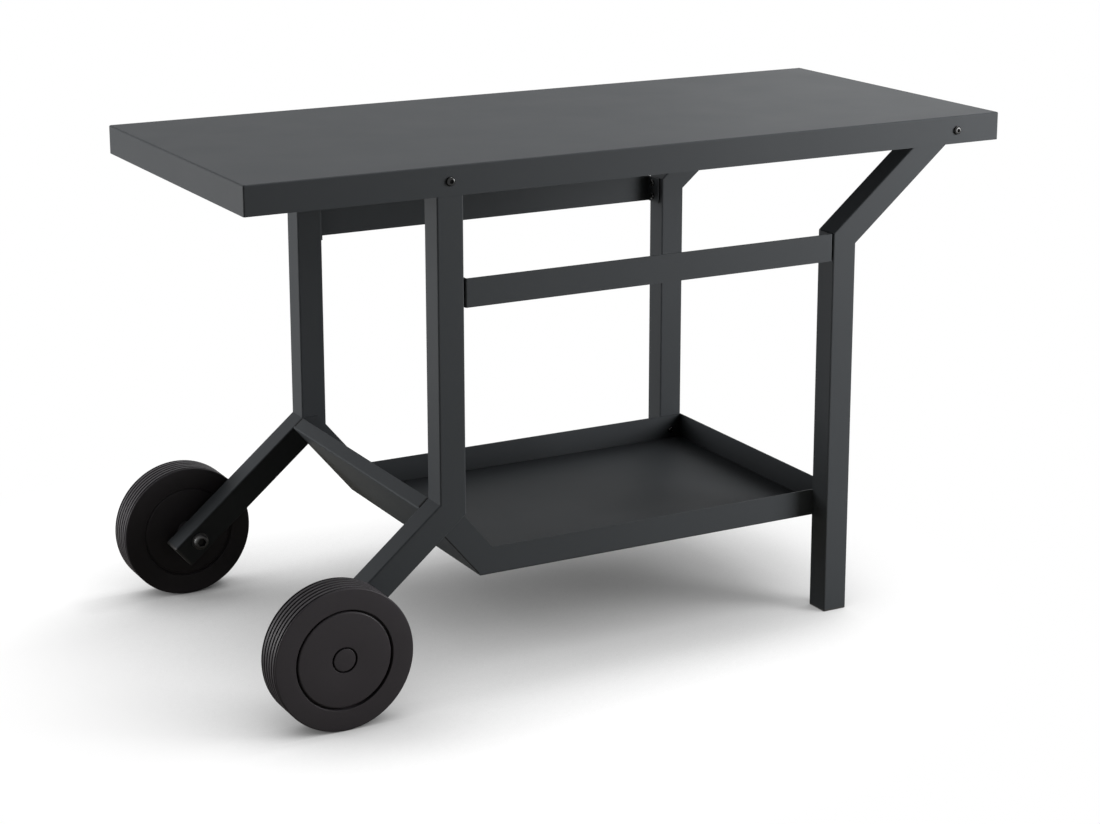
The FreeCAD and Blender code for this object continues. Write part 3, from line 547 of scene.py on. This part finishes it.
def plain_object(name: str, data: bpy.types.ID) -> bpy.types.Object:
    """Puts a mesh, a lamp or a camera into the scene as an object at the origin.

    Args:
        name: the object's name.
        data: the mesh, lamp or camera.

    Returns:
        The object.
    """
    item = bpy.data.objects.new(name, data)
    bpy.context.scene.collection.objects.link(item)
    return item


def kept_mesh(name: str, work: bmesh.types.BMesh) -> bpy.types.Mesh:
    """Keeps what was worked as a mesh.

    Args:
        name: the mesh's name.
        work: the mesh being made, which is freed.

    Returns:
        The mesh.
    """
    mesh = bpy.data.meshes.new(name)
    work.to_mesh(mesh)
    work.free()
    return mesh


def run_tree(name: str, base: bpy.types.Mesh, tree: bpy.types.NodeTree,
             inputs: dict[str, Any]) -> bpy.types.Object:
    """Runs a Geometry Nodes tree on a mesh and keeps the result as a plain piece.

    Args:
        name: the piece's name.
        base: the mesh that the tree starts from.
        tree: the tree.
        inputs: values of the tree's inputs, by name.

    Returns:
        The piece, a plain mesh object at the origin.
    """
    holder = plain_object(name + "_base", base)
    modifier = holder.modifiers.new("make", "NODES")
    modifier.node_group = tree
    for item in tree.interface.items_tree:
        if item.in_out == "INPUT" and item.name in inputs:
            modifier[item.identifier] = inputs[item.name]
    graph = bpy.context.evaluated_depsgraph_get()
    made = bpy.data.meshes.new_from_object(
        holder.evaluated_get(graph), preserve_all_data_layers=True, depsgraph=graph)
    made.name = name
    holder.modifiers.remove(modifier)
    bpy.data.objects.remove(holder)
    return plain_object(name, made)


def outward(mesh: bpy.types.Mesh) -> None:
    """Turns every face of a closed mesh outwards.

    Args:
        mesh: the mesh, which is changed in place.
    """
    work = bmesh.new()
    work.from_mesh(mesh)
    bmesh.ops.recalc_face_normals(work, faces=work.faces[:])
    work.to_mesh(mesh)
    work.free()


def rounded(corners: Sequence[Corner], closed: bool, step: float = 12.0) -> list[tuple[float, float]]:
    """Rounds the corners of a section.

    Args:
        corners: each corner's place along the axle, its radius from it and its rounding.
        closed: whether the last corner joins the first.
        step: greatest turn between two points of an arc, in degrees.

    Returns:
        Points of the outline.
    """
    points: list[tuple[float, float]] = []
    count = len(corners)
    for index, (along, out, radius) in enumerate(corners):
        here = Vector((along, out))
        ends = not closed and index in (0, count - 1)
        if ends or radius <= 0.0:
            points.append((along, out))
            continue
        back = (Vector(corners[index - 1][:2]) - here).normalized()
        ahead = (Vector(corners[(index + 1) % count][:2]) - here).normalized()
        opening = back.angle(ahead)
        reach = radius / math.tan(opening / 2.0)
        middle = here + (back + ahead).normalized() * (radius / math.sin(opening / 2.0))
        first, last = here + back * reach - middle, here + ahead * reach - middle
        sweep = math.pi - opening
        sign = 1.0 if first.x * last.y - first.y * last.x > 0.0 else -1.0
        pieces = max(2, math.ceil(math.degrees(sweep) / step))
        for number in range(pieces + 1):
            angle = sign * sweep * number / pieces
            turned = Matrix.Rotation(angle, 2) @ first
            points.append(tuple(middle + turned))
    return points


def section_mesh(name: str, points: Sequence[tuple[float, float]], circle: float,
                 closed: bool) -> bpy.types.Mesh:
    """Chain of edges for the lathe.

    Args:
        name: the mesh's name.
        points: places along the axle and radii, in metres.
        circle: radius of the lathe's own circle, which the section is measured from.
        closed: whether the chain is a loop.

    Returns:
        The mesh.
    """
    mesh = bpy.data.meshes.new(name)
    count = len(points)
    edges = [(i, (i + 1) % count) for i in range(count if closed else count - 1)]
    mesh.from_pydata([(out - circle, along, 0.0) for along, out in points], edges, [])
    return mesh


@dataclass
class ScrewShape:
    """A socket-head screw, turned about its own z axis with its face upwards, in metres."""

    name: str
    half_section: tuple[tuple[float, float], ...]
    socket_flats: float
    socket_depth: float
    segments: int = 36
    mouth_widening: float = 0.5 * MM
    mouth_depth: float = 0.25 * MM
    tip_share: float = 0.3
    tip_depth: float = 0.4 * MM
    sharp_degrees: float = 32.0

    def _ring(self, work: bmesh.types.BMesh, radius: float, height: float) -> list[bmesh.types.BMVert]:
        """Round ring of points at a height."""
        angles = (math.tau * i / self.segments for i in range(self.segments))
        return [work.verts.new((radius * math.cos(a), radius * math.sin(a), height)) for a in angles]

    def _hexagon(self, work: bmesh.types.BMesh, flats: float, height: float) -> list[bmesh.types.BMVert]:
        """Ring of points along a hexagon, in step with the round rings.

        Args:
            work: the mesh being made.
            flats: width across the flats.
            height: the ring's height.

        Returns:
            The ring's points.
        """
        ring = []
        for index in range(self.segments):
            angle = math.tau * index / self.segments
            off = (angle + math.pi / 6.0) % (math.pi / 3.0) - math.pi / 6.0
            radius = flats / 2.0 / math.cos(off)
            ring.append(work.verts.new((radius * math.cos(angle), radius * math.sin(angle), height)))
        return ring

    def build(self) -> bpy.types.Object:
        """Makes one screw.

        Returns:
            The screw, in the scene so that a tree can copy it.
        """
        work = bmesh.new()
        face = self.half_section[-1][1]
        rings = [self._ring(work, radius, height) for radius, height in self.half_section]
        rings.append(self._hexagon(work, self.socket_flats + self.mouth_widening, face))
        rings.append(self._hexagon(work, self.socket_flats, face - self.mouth_depth))
        floor = face - self.socket_depth
        rings.append(self._hexagon(work, self.socket_flats, floor))
        rings.append(self._ring(work, self.socket_flats * self.tip_share, floor - self.tip_depth))
        for lower, upper in zip(rings, rings[1:]):
            for index in range(self.segments):
                after = (index + 1) % self.segments
                work.faces.new((lower[index], lower[after], upper[after], upper[index]))
        work.faces.new(rings[0])
        work.faces.new(rings[-1])
        bmesh.ops.recalc_face_normals(work, faces=work.faces[:])
        mesh = kept_mesh(self.name, work)
        mesh.shade_smooth()
        mesh.set_sharp_from_angle(angle=math.radians(self.sharp_degrees))
        return plain_object(self.name, mesh)


def dome(radius: float, height: float, round_off: float, edge: float = 0.2 * MM,
         steps: int = 6) -> tuple[tuple[float, float], ...]:
    """Half section of a button head, from its seat to the edge of its flat face.

    Args:
        radius: the head's radius.
        height: the head's height.
        round_off: rounding of its upper edge.
        edge: bevel at its seat.
        steps: points of the rounding.

    Returns:
        Radii and heights.
    """
    angles = (math.pi / 2.0 * i / steps for i in range(steps + 1))
    arc = [(radius - round_off + round_off * math.cos(a), height - round_off + round_off * math.sin(a))
           for a in angles]
    return ((radius - edge, 0.0), (radius, edge), *arc)


@dataclass
class ScrewSet:
    """Screws of one kind on the frame, which stand for one CAD node."""

    node: str
    shape: ScrewShape
    spots: tuple[tuple[Point, Facing], ...]
    seed: int

    def build(self, trees: ShapeTrees, paints: Paintbox) -> None:
        """Sets out the screws.

        Args:
            trees: the Geometry Nodes trees.
            paints: the finishes.
        """
        base = bpy.data.meshes.new(self.node + "_spots")
        base.from_pydata([spot for spot, _ in self.spots], [], [])
        facing = base.attributes.new("facing", "FLOAT_VECTOR", "POINT")
        for entry, (_, way) in zip(facing.data, self.spots):
            entry.vector = way.value
        screw = self.shape.build()
        piece = run_tree("socket_" + self.node, base, trees.screw_set, {
            "Screw": screw, "Turn Seed": self.seed, "Finish": paints.materials[Slot.BLACK_SCREWS]})
        bpy.data.objects.remove(screw)
        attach(piece, "frame")
        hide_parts(self.node)
        LOG.info("%s: %d screws", piece.name, len(self.spots))


@dataclass
class ButtonScrew:
    """Sizes of a button-head screw."""

    name: str = "button_screw"
    head_radius: float = 5.5 * MM
    head_height: float = 3.3 * MM
    head_round: float = 2.4 * MM
    socket_flats: float = 4.0 * MM
    socket_depth: float = 2.0 * MM
    shank_radius: float = 3.0 * MM
    shank_length: float = 14.0 * MM
    shank_bevel: float = 0.4 * MM

    def shape(self) -> ScrewShape:
        """Screw with its seat at height 0.

        Returns:
            The shape.
        """
        shank = ((self.shank_radius - self.shank_bevel, -self.shank_length),
                 (self.shank_radius, self.shank_bevel - self.shank_length), (self.shank_radius, 0.0))
        head = dome(self.head_radius, self.head_height, self.head_round)
        return ScrewShape(self.name, (*shank, *head), self.socket_flats, self.socket_depth)


@dataclass
class TableTop:
    """Folded top and the screws that hold it to the legs."""

    turn_seed: int = 3
    screw: ButtonScrew = field(default_factory=lambda: ButtonScrew(
        "skirt_screw", head_radius=6.5 * MM, head_height=3.8 * MM, head_round=2.8 * MM,
        socket_flats=5.0 * MM, socket_depth=2.4 * MM))

    def screws(self) -> ScrewSet:
        """Screws of both long skirts, where the frame has them.

        Returns:
            The set.
        """
        low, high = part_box("table_top_screws")
        seat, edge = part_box("table_top")[1].y, self.screw.head_radius
        height = (low.z + high.z) / 2.0
        spots = tuple(((x, side.value * seat, height), Facing[side.name])
                      for side in Side for x in (low.x + edge, high.x - edge))
        return ScrewSet("table_top_screws", self.screw.shape(), spots, self.turn_seed)

    def build(self, nodes: dict[str, bpy.types.Object], trees: ShapeTrees, paints: Paintbox) -> None:
        """Dresses the top and makes its screws.

        Args:
            nodes: the CAD nodes.
            trees: the Geometry Nodes trees.
            paints: the finishes.
        """
        paints.dress(nodes["table_top"], Slot.POWDER_COAT)
        paints.dress(nodes["table_top_blind_nuts"], Slot.ZINC_STEEL)
        self.screws().build(trees, paints)


@dataclass
class LegFrames:
    """Tubes of the four legs, with their plugs and feet."""

    tubes: tuple[str, ...] = ("wheel_leg_upright", "wheel_leg_arm", "foot_leg_upright",
                              "foot_leg_diagonal", "foot_leg_top_bar")
    plugs: tuple[str, ...] = ("arm_end_cap", "top_bar_end_cap", "foot_cap")

    def build(self, nodes: dict[str, bpy.types.Object], paints: Paintbox) -> None:
        """Dresses the tubes and plugs of both sides.

        Args:
            nodes: the CAD nodes.
            paints: the finishes.
        """
        for side in Side:
            for tube in self.tubes:
                paints.dress(nodes[f"{side.label}_{tube}"], Slot.POWDER_COAT)
            for plug in self.plugs:
                paints.dress(nodes[f"{side.label}_{plug}"], Slot.CAP_PLASTIC)
        paints.dress(nodes["leg_blind_nuts"], Slot.ZINC_STEEL)


@dataclass
class SideRails:
    """Strips between the legs, with two screws in each end's tab."""

    turn_seed: int = 11
    screw: ButtonScrew = field(default_factory=ButtonScrew)

    def screws(self) -> ScrewSet:
        """Screws of all four tabs, where the frame has them.

        Returns:
            The set.
        """
        low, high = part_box("rail_screws")
        edge, reach = self.screw.head_radius, self.screw.shank_length
        ends = ((low.x + reach, Facing.RIGHT), (high.x - reach, Facing.LEFT))
        spots = tuple(((x, side.value * (high.y - edge), z), way)
                      for side in Side for z in (low.z + edge, high.z - edge) for x, way in ends)
        return ScrewSet("rail_screws", self.screw.shape(), spots, self.turn_seed)

    def build(self, nodes: dict[str, bpy.types.Object], trees: ShapeTrees, paints: Paintbox) -> None:
        """Dresses the rails and makes their screws.

        Args:
            nodes: the CAD nodes.
            trees: the Geometry Nodes trees.
            paints: the finishes.
        """
        for side in Side:
            paints.dress(nodes[side.label + "_rail"], Slot.POWDER_COAT)
        self.screws().build(trees, paints)


@dataclass(frozen=True)
class SeamLine:
    """Thin near-black bar on the tray: painted shade where a narrow gap at the tray's corners shows dark.

    Its ends are x and z from the tray's upper left corner, its sides lie to the right of the line
    between them, and it reaches out in y from the tray's outer face.
    """

    start: tuple[float, float]
    end: tuple[float, float]
    across: tuple[float, float]
    out: tuple[float, float]

    def add_to(self, work: bmesh.types.BMesh, side: Side, corner: Vector) -> None:
        """Adds the line as a bar.

        Args:
            work: the mesh being made.
            side: the side of the cart that it lies on.
            corner: the tray's upper left corner at the rear.
        """
        way = (Vector(self.end) - Vector(self.start)).normalized()
        right = Vector((way.y, -way.x))
        made = bmesh.ops.create_cube(work, size=1.0)["verts"]
        for vert in made:
            here = Vector(self.end if vert.co.x > 0.0 else self.start)
            here += right * self.across[1 if vert.co.z > 0.0 else 0]
            out = corner.y + self.out[1 if vert.co.y > 0.0 else 0]
            vert.co = (corner.x + here.x, side.value * out, corner.z + here.y)


@dataclass
class LowerTray:
    """Folded tray between the legs, screwed to them through its walls, with painted shade lines at its
    corners.
    """

    turn_seed: int = 23
    screw: ButtonScrew = field(default_factory=ButtonScrew)
    slope_seam: SeamLine = SeamLine(
        start=(92.96 * MM, -125.73 * MM), end=(25.46 * MM, -45.23 * MM),
        across=(0.3 * MM, 1.9 * MM), out=(-0.5 * MM, 0.1 * MM))
    lip_seam: SeamLine = SeamLine(
        start=(1.46 * MM, -11.23 * MM), end=(14.66 * MM, -0.13 * MM),
        across=(-0.1 * MM, 0.5 * MM), out=(-3.4 * MM, -0.1 * MM))

    def screws(self) -> ScrewSet:
        """Screws of both walls, which face into the tray, where the frame has them.

        Returns:
            The set.
        """
        low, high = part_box("tray_screws")
        edge, seat = self.screw.head_radius, high.y - self.screw.shank_length
        at_foot, at_arm = (high.x - edge, low.z + edge), (low.x + edge, high.z - edge)
        inwards = {Side.FRONT: Facing.REAR, Side.REAR: Facing.FRONT}
        spots = tuple(((x, side.value * seat, z), inwards[side])
                      for side in Side for x, z in (at_foot, at_arm))
        return ScrewSet("tray_screws", self.screw.shape(), spots, self.turn_seed)

    def seams(self, paints: Paintbox) -> None:
        """Lays painted shade lines along the sloping corners and at the ends of the lip on both sides.

        Args:
            paints: the finishes.
        """
        low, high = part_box("lower_tray")
        corner = Vector((low.x, high.y, high.z))
        work = bmesh.new()
        # Painted shade: near-black bars where narrow gaps at the tray's corners show dark
        for side in Side:
            self.slope_seam.add_to(work, side, corner)
            self.lip_seam.add_to(work, side, corner)
        bmesh.ops.recalc_face_normals(work, faces=work.faces[:])
        mesh = kept_mesh("tray_seams", work)
        mesh.materials.append(paints.joint_sealer)
        piece = plain_object("tray_seams", mesh)
        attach(piece, "frame")
        LOG.info("%s: %d faces", piece.name, len(mesh.polygons))

    def build(self, nodes: dict[str, bpy.types.Object], trees: ShapeTrees, paints: Paintbox) -> None:
        """Dresses the tray, lays its painted shade lines and makes its screws.

        Args:
            nodes: the CAD nodes.
            trees: the Geometry Nodes trees.
            paints: the finishes.
        """
        paints.dress(nodes["lower_tray"], Slot.POWDER_COAT)
        self.seams(paints)
        self.screws().build(trees, paints)


@dataclass
class Wheel:
    """One wheel: tyre, moulded centre and hub cap, turned from their sections."""

    side: Side
    axle: Vector = field(init=False)
    radius: float = field(init=False)
    half_width: float = field(init=False)
    bore: float = 71.2 * MM
    grooves: int = 6
    groove_mouth: float = 3.6 * MM
    groove_floor: float = 2.0 * MM
    groove_depth: float = 3.0 * MM
    shoulder: float = 2.0 * MM
    disc_radius: float = 68.2 * MM
    disc_inset: float = 0.8 * MM
    rim_step: float = 8.0 * MM
    inner_step: float = 2.6 * MM
    boss_radius: float = 17.0 * MM
    boss_gap: float = 0.4 * MM
    arm_gap: float = 11.7 * MM
    hub_bore: float = 8.05 * MM
    chamber_radius: float = 14.0 * MM
    chamber_floor: float = -3.2 * MM
    cap_radius: float = 15.8 * MM
    cap_groove: float = 2.6 * MM
    cap_groove_depth: float = 6.5 * MM
    cap_seat: float = 3.0 * MM
    cap_crown: float = 0.25 * MM
    cap_wall: float = 2.0 * MM
    cap_skirt: float = 5.0 * MM
    # A point of the crown's curve, as shares of the cap's radius and of the crown's height
    cap_bow: tuple[float, float] = (0.5, 0.75)
    fit: float = 0.05 * MM
    rib_round: float = 0.7 * MM
    groove_round: float = 0.5 * MM
    bore_round: float = 0.8 * MM
    hub_round: float = 0.3 * MM
    boss_round: float = 0.8 * MM
    boss_root: float = 1.0 * MM
    disc_round: float = 2.5 * MM
    rim_root: float = 0.4 * MM
    rim_round: float = 0.3 * MM
    recess_round: float = 0.5 * MM
    shelf_round: float = 0.2 * MM
    chamber_round: float = 0.4 * MM
    cap_round: float = 0.8 * MM
    cap_foot: float = 0.2 * MM
    skirt_root: float = 0.1 * MM
    skirt_round: float = 0.4 * MM
    skirt_inner: float = 0.3 * MM
    turn_steps: int = 144
    sharp_degrees: float = 50.0

    def __post_init__(self) -> None:
        """Takes the wheel's place and outer size from the frame's tyre."""
        low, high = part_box(self.side.label + "_tyre")
        self.axle = (low + high) / 2.0
        self.radius = (high.z - low.z) / 2.0
        self.half_width = (high.y - low.y) / 2.0

    def tyre_section(self) -> list[tuple[float, float]]:
        """Closed section of the tyre, with its ribs and grooves rounded.

        Returns:
            Places along the axle and radii.
        """
        half, top = self.half_width, self.radius
        floor = top - self.groove_depth
        corners: list[Corner] = [(-half, top, self.shoulder)]
        pitch = 2.0 * half / self.grooves
        for number in range(self.grooves):
            middle = pitch * (number + 0.5) - half
            corners += [(middle - self.groove_mouth / 2.0, top, self.rib_round),
                        (middle - self.groove_floor / 2.0, floor, self.groove_round),
                        (middle + self.groove_floor / 2.0, floor, self.groove_round),
                        (middle + self.groove_mouth / 2.0, top, self.rib_round)]
        corners += [(half, top, self.shoulder), (half, self.bore, self.bore_round),
                    (-half, self.bore, self.bore_round)]
        return rounded(corners, True)

    def centre_section(self) -> list[tuple[float, float]]:
        """Closed section of the moulded centre, from its hub to its rim.

        Returns:
            Places along the axle and radii. The outer face is at the negative end.
        """
        half, face = self.half_width, self.half_width - self.disc_inset
        step, inner, seat = half - self.rim_step, half - self.inner_step, self.bore - self.fit
        hub_end = half + self.arm_gap - self.boss_gap
        recess = self.cap_radius + self.cap_groove
        groove, shelf = self.cap_groove_depth - face, self.cap_seat - face
        corners = [
            (hub_end, self.hub_bore, self.hub_round), (hub_end, self.boss_radius, self.boss_round),
            (face, self.boss_radius, self.boss_root), (face, self.disc_radius, self.disc_round),
            (inner, self.disc_radius, self.rim_root), (inner, seat, self.rim_round),
            (-step, seat, self.rim_round), (-step, self.disc_radius, self.rim_root),
            (-face, self.disc_radius, self.disc_round), (-face, recess, self.recess_round),
            (groove, recess, self.shelf_round), (groove, self.cap_radius, self.shelf_round),
            (shelf, self.cap_radius, self.shelf_round), (shelf, self.chamber_radius, self.shelf_round),
            (self.chamber_floor, self.chamber_radius, self.chamber_round),
            (self.chamber_floor, self.hub_bore, self.hub_round)]
        return rounded(corners, True)

    def cap_section(self) -> list[tuple[float, float]]:
        """Open section of the hub cap, from its crown round to its underside.

        Returns:
            Places along the axle and radii.
        """
        face = self.disc_inset - self.half_width
        seat, skirt = face + self.cap_seat, self.chamber_radius - self.fit
        under, inside = face + self.cap_wall, skirt - self.cap_wall
        bow_out, bow_height = self.cap_bow
        corners = [
            (face - self.cap_crown, 0.0, 0.0),
            (face - self.cap_crown * bow_height, self.cap_radius * bow_out, 0.0),
            (face, self.cap_radius, self.cap_round), (seat, self.cap_radius, self.cap_foot),
            (seat, skirt, self.skirt_root), (seat + self.cap_skirt, skirt, self.skirt_round),
            (seat + self.cap_skirt, inside, self.skirt_inner), (under, inside, self.skirt_round),
            (under, 0.0, 0.0)]
        return rounded(corners, False)

    def turn(self, part: str, points: list[tuple[float, float]], closed: bool, slot: Slot,
             trees: ShapeTrees, paints: Paintbox) -> None:
        """Turns one section into a piece that stands for a CAD node and rides on the wheel.

        Args:
            part: the CAD node's name without its side.
            points: the section, with the outer face at the negative end.
            closed: whether the section is a loop.
            slot: the finish.
            trees: the Geometry Nodes trees.
            paints: the finishes.
        """
        node = f"{self.side.label}_{part}"
        # The lathe lays a section's second number along -z, which its turn brings to +y
        along = -self.side.value
        laid = [(along * y, out) for y, out in points]
        section = section_mesh(node + "_section", laid, self.bore, closed)
        piece = run_tree("turned_" + node, section, trees.turned, {
            "Steps": self.turn_steps, "Circle": self.bore, "Centre": tuple(self.axle),
            "Finish": paints.materials[slot]})
        outward(piece.data)
        piece.data.set_sharp_from_angle(angle=math.radians(self.sharp_degrees))
        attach(piece, self.side.label + "_wheel")
        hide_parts(node)
        LOG.info("%s: %d faces", piece.name, len(piece.data.polygons))

    def build(self, trees: ShapeTrees, paints: Paintbox) -> None:
        """Makes the wheel's three pieces.

        Args:
            trees: the Geometry Nodes trees.
            paints: the finishes.
        """
        self.turn("tyre", self.tyre_section(), True, Slot.TYRE_RUBBER, trees, paints)
        self.turn("wheel_centre", self.centre_section(), True, Slot.WHEEL_PLASTIC, trees, paints)
        self.turn("hub_cap", self.cap_section(), False, Slot.WHEEL_PLASTIC, trees, paints)


@dataclass
class StubAxles:
    """Bolts, washers, sleeves and nuts that the wheels turn on."""

    dark: tuple[str, ...] = ("axle_bolts", "axle_washers")
    bright: tuple[str, ...] = ("axle_sleeves", "axle_nuts")

    def build(self, nodes: dict[str, bpy.types.Object], paints: Paintbox) -> None:
        """Dresses the axles' pieces.

        Args:
            nodes: the CAD nodes.
            paints: the finishes.
        """
        for name in self.dark:
            paints.dress(nodes[name], Slot.BLACK_SCREWS, paints.bolt_steel)
        for name in self.bright:
            paints.dress(nodes[name], Slot.ZINC_STEEL)


@dataclass(frozen=True)
class Softbox:
    """A soft lamp: where it stands, what it looks at, its width, height and power."""

    name: str
    place: Point
    aim: Point
    width: float
    height: float
    power: float

    def light(self) -> None:
        """Adds the lamp to the scene."""
        lamp = bpy.data.lights.new(self.name, "AREA")
        lamp.shape = "RECTANGLE"
        lamp.size, lamp.size_y = self.width, self.height
        lamp.energy = self.power
        item = plain_object(self.name, lamp)
        item.location = self.place
        item.rotation_euler = (Vector(self.aim) - Vector(self.place)).to_track_quat("-Z", "Y").to_euler()


@dataclass
class Studio:
    """Floor, lamps, surroundings and the camera at the photograph's angle."""

    floor_radius: float = 30.0
    floor_segments: int = 96
    floor_drop: float = 0.4 * MM
    floor_tone: float = 0.28
    bounce_tone: float = 0.30
    bounce_tint: tuple[float, float] = (0.05, -0.15)
    # Strength of the floor's glow, which the shade fields below dim into a painted shadow with ambient
    # occlusion
    floor_lift: float = 0.90
    shade_samples: int = 24
    shade_reach: float = 0.8
    shade_depth: float = 1.4
    shade_centre: Point = (-0.22, 0.07, 0.0)
    shade_near: float = 0.50
    shade_far: float = 0.92
    sky: float = 0.02
    lamps: tuple[Softbox, ...] = (
        Softbox("left_lamp", (-2.6, 1.4, 0.5), (0.0, 0.0, 0.4), 1.2, 0.8, 55.0),
        Softbox("left_high_lamp", (-3.2, 0.8, 1.3), (0.0, 0.0, 0.4), 1.2, 0.9, 20.0),
        Softbox("front_lamp", (1.5, -1.4, 0.9), (0.3, 0.0, 0.5), 1.0, 1.0, 43.0),
        Softbox("far_front_lamp", (2.4, -2.4, 1.0), (0.1, 0.0, 0.5), 0.8, 0.8, 32.0),
        Softbox("right_lamp", (2.2, 1.8, 1.4), (0.0, 0.0, 0.4), 1.5, 1.5, 5.4),
        Softbox("over_lamp", (0.5, 0.0, 5.0), (0.3, 0.0, 0.0), 0.5, 1.6, 45.0),
        Softbox("over_right_lamp", (1.8, 0.3, 4.4), (0.1, 0.0, 0.0), 1.0, 1.0, 110.0),
    )
    sensor_width: float = 36.0
    focal_pixels: float = 2442.50
    shift_pixels: float = 110.0
    camera_place: Point = (-1.728595, -3.161188, 1.345231)
    camera_right: Point = (0.8793372, -0.4761985, -0.0010505)
    camera_up: Point = (0.1135339, 0.2075057, 0.9716231)

    def floor(self) -> None:
        """Lays the floor.

        The camera sees it pale, with the cart's real shadow from the lamps and a painted shadow where its
        glow is dimmed by ambient occlusion under and around the cart, and white further out. The cart sees
        it as a duller, slightly warm floor, so that its paleness puts no more light on the cart.
        """
        work = bmesh.new()
        bmesh.ops.create_circle(
            work, cap_ends=True, segments=self.floor_segments, radius=self.floor_radius)
        bmesh.ops.translate(work, verts=work.verts[:], vec=(0.0, 0.0, -self.floor_drop))
        mesh = kept_mesh("pale_floor", work)
        material = bpy.data.materials.new("pale_floor")
        material.use_nodes = True
        bench = NodeBench(material.node_tree)
        bounce = grey(self.bounce_tone, *self.bounce_tint)
        matt = bench.add("ShaderNodeBsdfDiffuse", {"Color": grey(self.floor_tone)}).outputs[0]
        dull = bench.add("ShaderNodeBsdfDiffuse", {"Color": bounce}).outputs[0]
        # Painted shadow: ambient occlusion dims the floor's glow under and around the cart
        open_sky = bench.add("ShaderNodeAmbientOcclusion", {"Distance": self.shade_reach},
                             samples=self.shade_samples).outputs["AO"]
        shaded = bench.maths("POWER", open_sky, self.shade_depth)
        painted_shadow_glow = bench.maths("MULTIPLY", shaded, self.floor_lift)
        lift = bench.add("ShaderNodeEmission", {"Strength": painted_shadow_glow}).outputs[0]
        white = bench.add("ShaderNodeEmission", {"Strength": 1.0}).outputs[0]
        where = bench.add("ShaderNodeTexCoord").outputs["Object"]
        away = bench.add("ShaderNodeVectorMath", {0: where, 1: self.shade_centre}, operation="DISTANCE")
        fade = bench.add("ShaderNodeMapRange", {
            "Value": away.outputs["Value"], "From Min": self.shade_near, "From Max": self.shade_far},
            interpolation_type="SMOOTHSTEP")
        lit = bench.add("ShaderNodeAddShader", {0: matt, 1: lift}).outputs[0]
        path = bench.add("ShaderNodeLightPath").outputs
        near = bench.add("ShaderNodeMixShader", {0: path["Is Camera Ray"], 1: dull, 2: lit}).outputs[0]
        whiteness = bench.maths("MULTIPLY", fade.outputs[0], self._seen(bench))
        split = bench.add("ShaderNodeMixShader", {0: whiteness, 1: near, 2: white})
        bench.add("ShaderNodeOutputMaterial", {"Surface": split.outputs[0]})
        mesh.materials.append(material)
        plain_object("pale_floor", mesh)

    @staticmethod
    def _seen(bench: NodeBench) -> bpy.types.NodeSocket:
        """Tells the rays that show the background: the camera's, and those in gloss and glass.

        Args:
            bench: the bench of the floor's material or the world.

        Returns:
            A mask that is 1 for those rays.
        """
        path = bench.add("ShaderNodeLightPath").outputs
        both = bench.maths("MAXIMUM", path["Is Camera Ray"], path["Is Glossy Ray"])
        return bench.maths("MAXIMUM", both, path["Is Transmission Ray"])

    def surroundings(self) -> None:
        """Sets the world: white where it is seen, and a soft even light elsewhere."""
        world = bpy.data.worlds.new("white_studio")
        world.use_nodes = True
        bench = NodeBench(world.node_tree)
        soft = bench.add("ShaderNodeBackground", {"Strength": self.sky}).outputs[0]
        white = bench.add("ShaderNodeBackground", {"Strength": 1.0}).outputs[0]
        for node in bench.tree.nodes:
            node.inputs["Color"].default_value = grey(1.0)
        split = bench.add("ShaderNodeMixShader", {0: self._seen(bench), 1: soft, 2: white})
        bench.add("ShaderNodeOutputWorld", {"Surface": split.outputs[0]})
        bpy.context.scene.world = world

    def camera(self) -> None:
        """Sets the camera where the photograph was taken from."""
        data = bpy.data.cameras.new("photo_camera")
        data.sensor_width = self.sensor_width
        data.lens = self.focal_pixels * self.sensor_width / PHOTO_WIDTH
        data.shift_y = -self.shift_pixels / PHOTO_WIDTH
        item = plain_object("photo_camera", data)
        right, up = Vector(self.camera_right), Vector(self.camera_up)
        axes = Matrix((right, up, right.cross(up))).transposed().to_4x4()
        item.matrix_world = Matrix.Translation(self.camera_place) @ axes
        bpy.context.scene.camera = item

    def build(self) -> None:
        """Sets up the whole studio."""
        bpy.context.scene.view_settings.view_transform = "Standard"
        self.camera()
        self.floor()
        self.surroundings()
        for lamp in self.lamps:
            lamp.light()
        LOG.info("studio with %d lamps", len(self.lamps))


def main() -> None:
    """Builds the cart's looks, piece by piece."""
    logging.basicConfig(level=logging.INFO, format="%(name)s: %(message)s")
    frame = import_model()
    nodes = frame["nodes"]
    paints = Paintbox(SharedEffects())
    paints.mix()
    trees = ShapeTrees()
    Studio().build()
    TableTop().build(nodes, trees, paints)
    LegFrames().build(nodes, paints)
    SideRails().build(nodes, trees, paints)
    LowerTray().build(nodes, trees, paints)
    StubAxles().build(nodes, paints)
    for side in Side:
        Wheel(side).build(trees, paints)


if __name__ == "__main__":
    main()
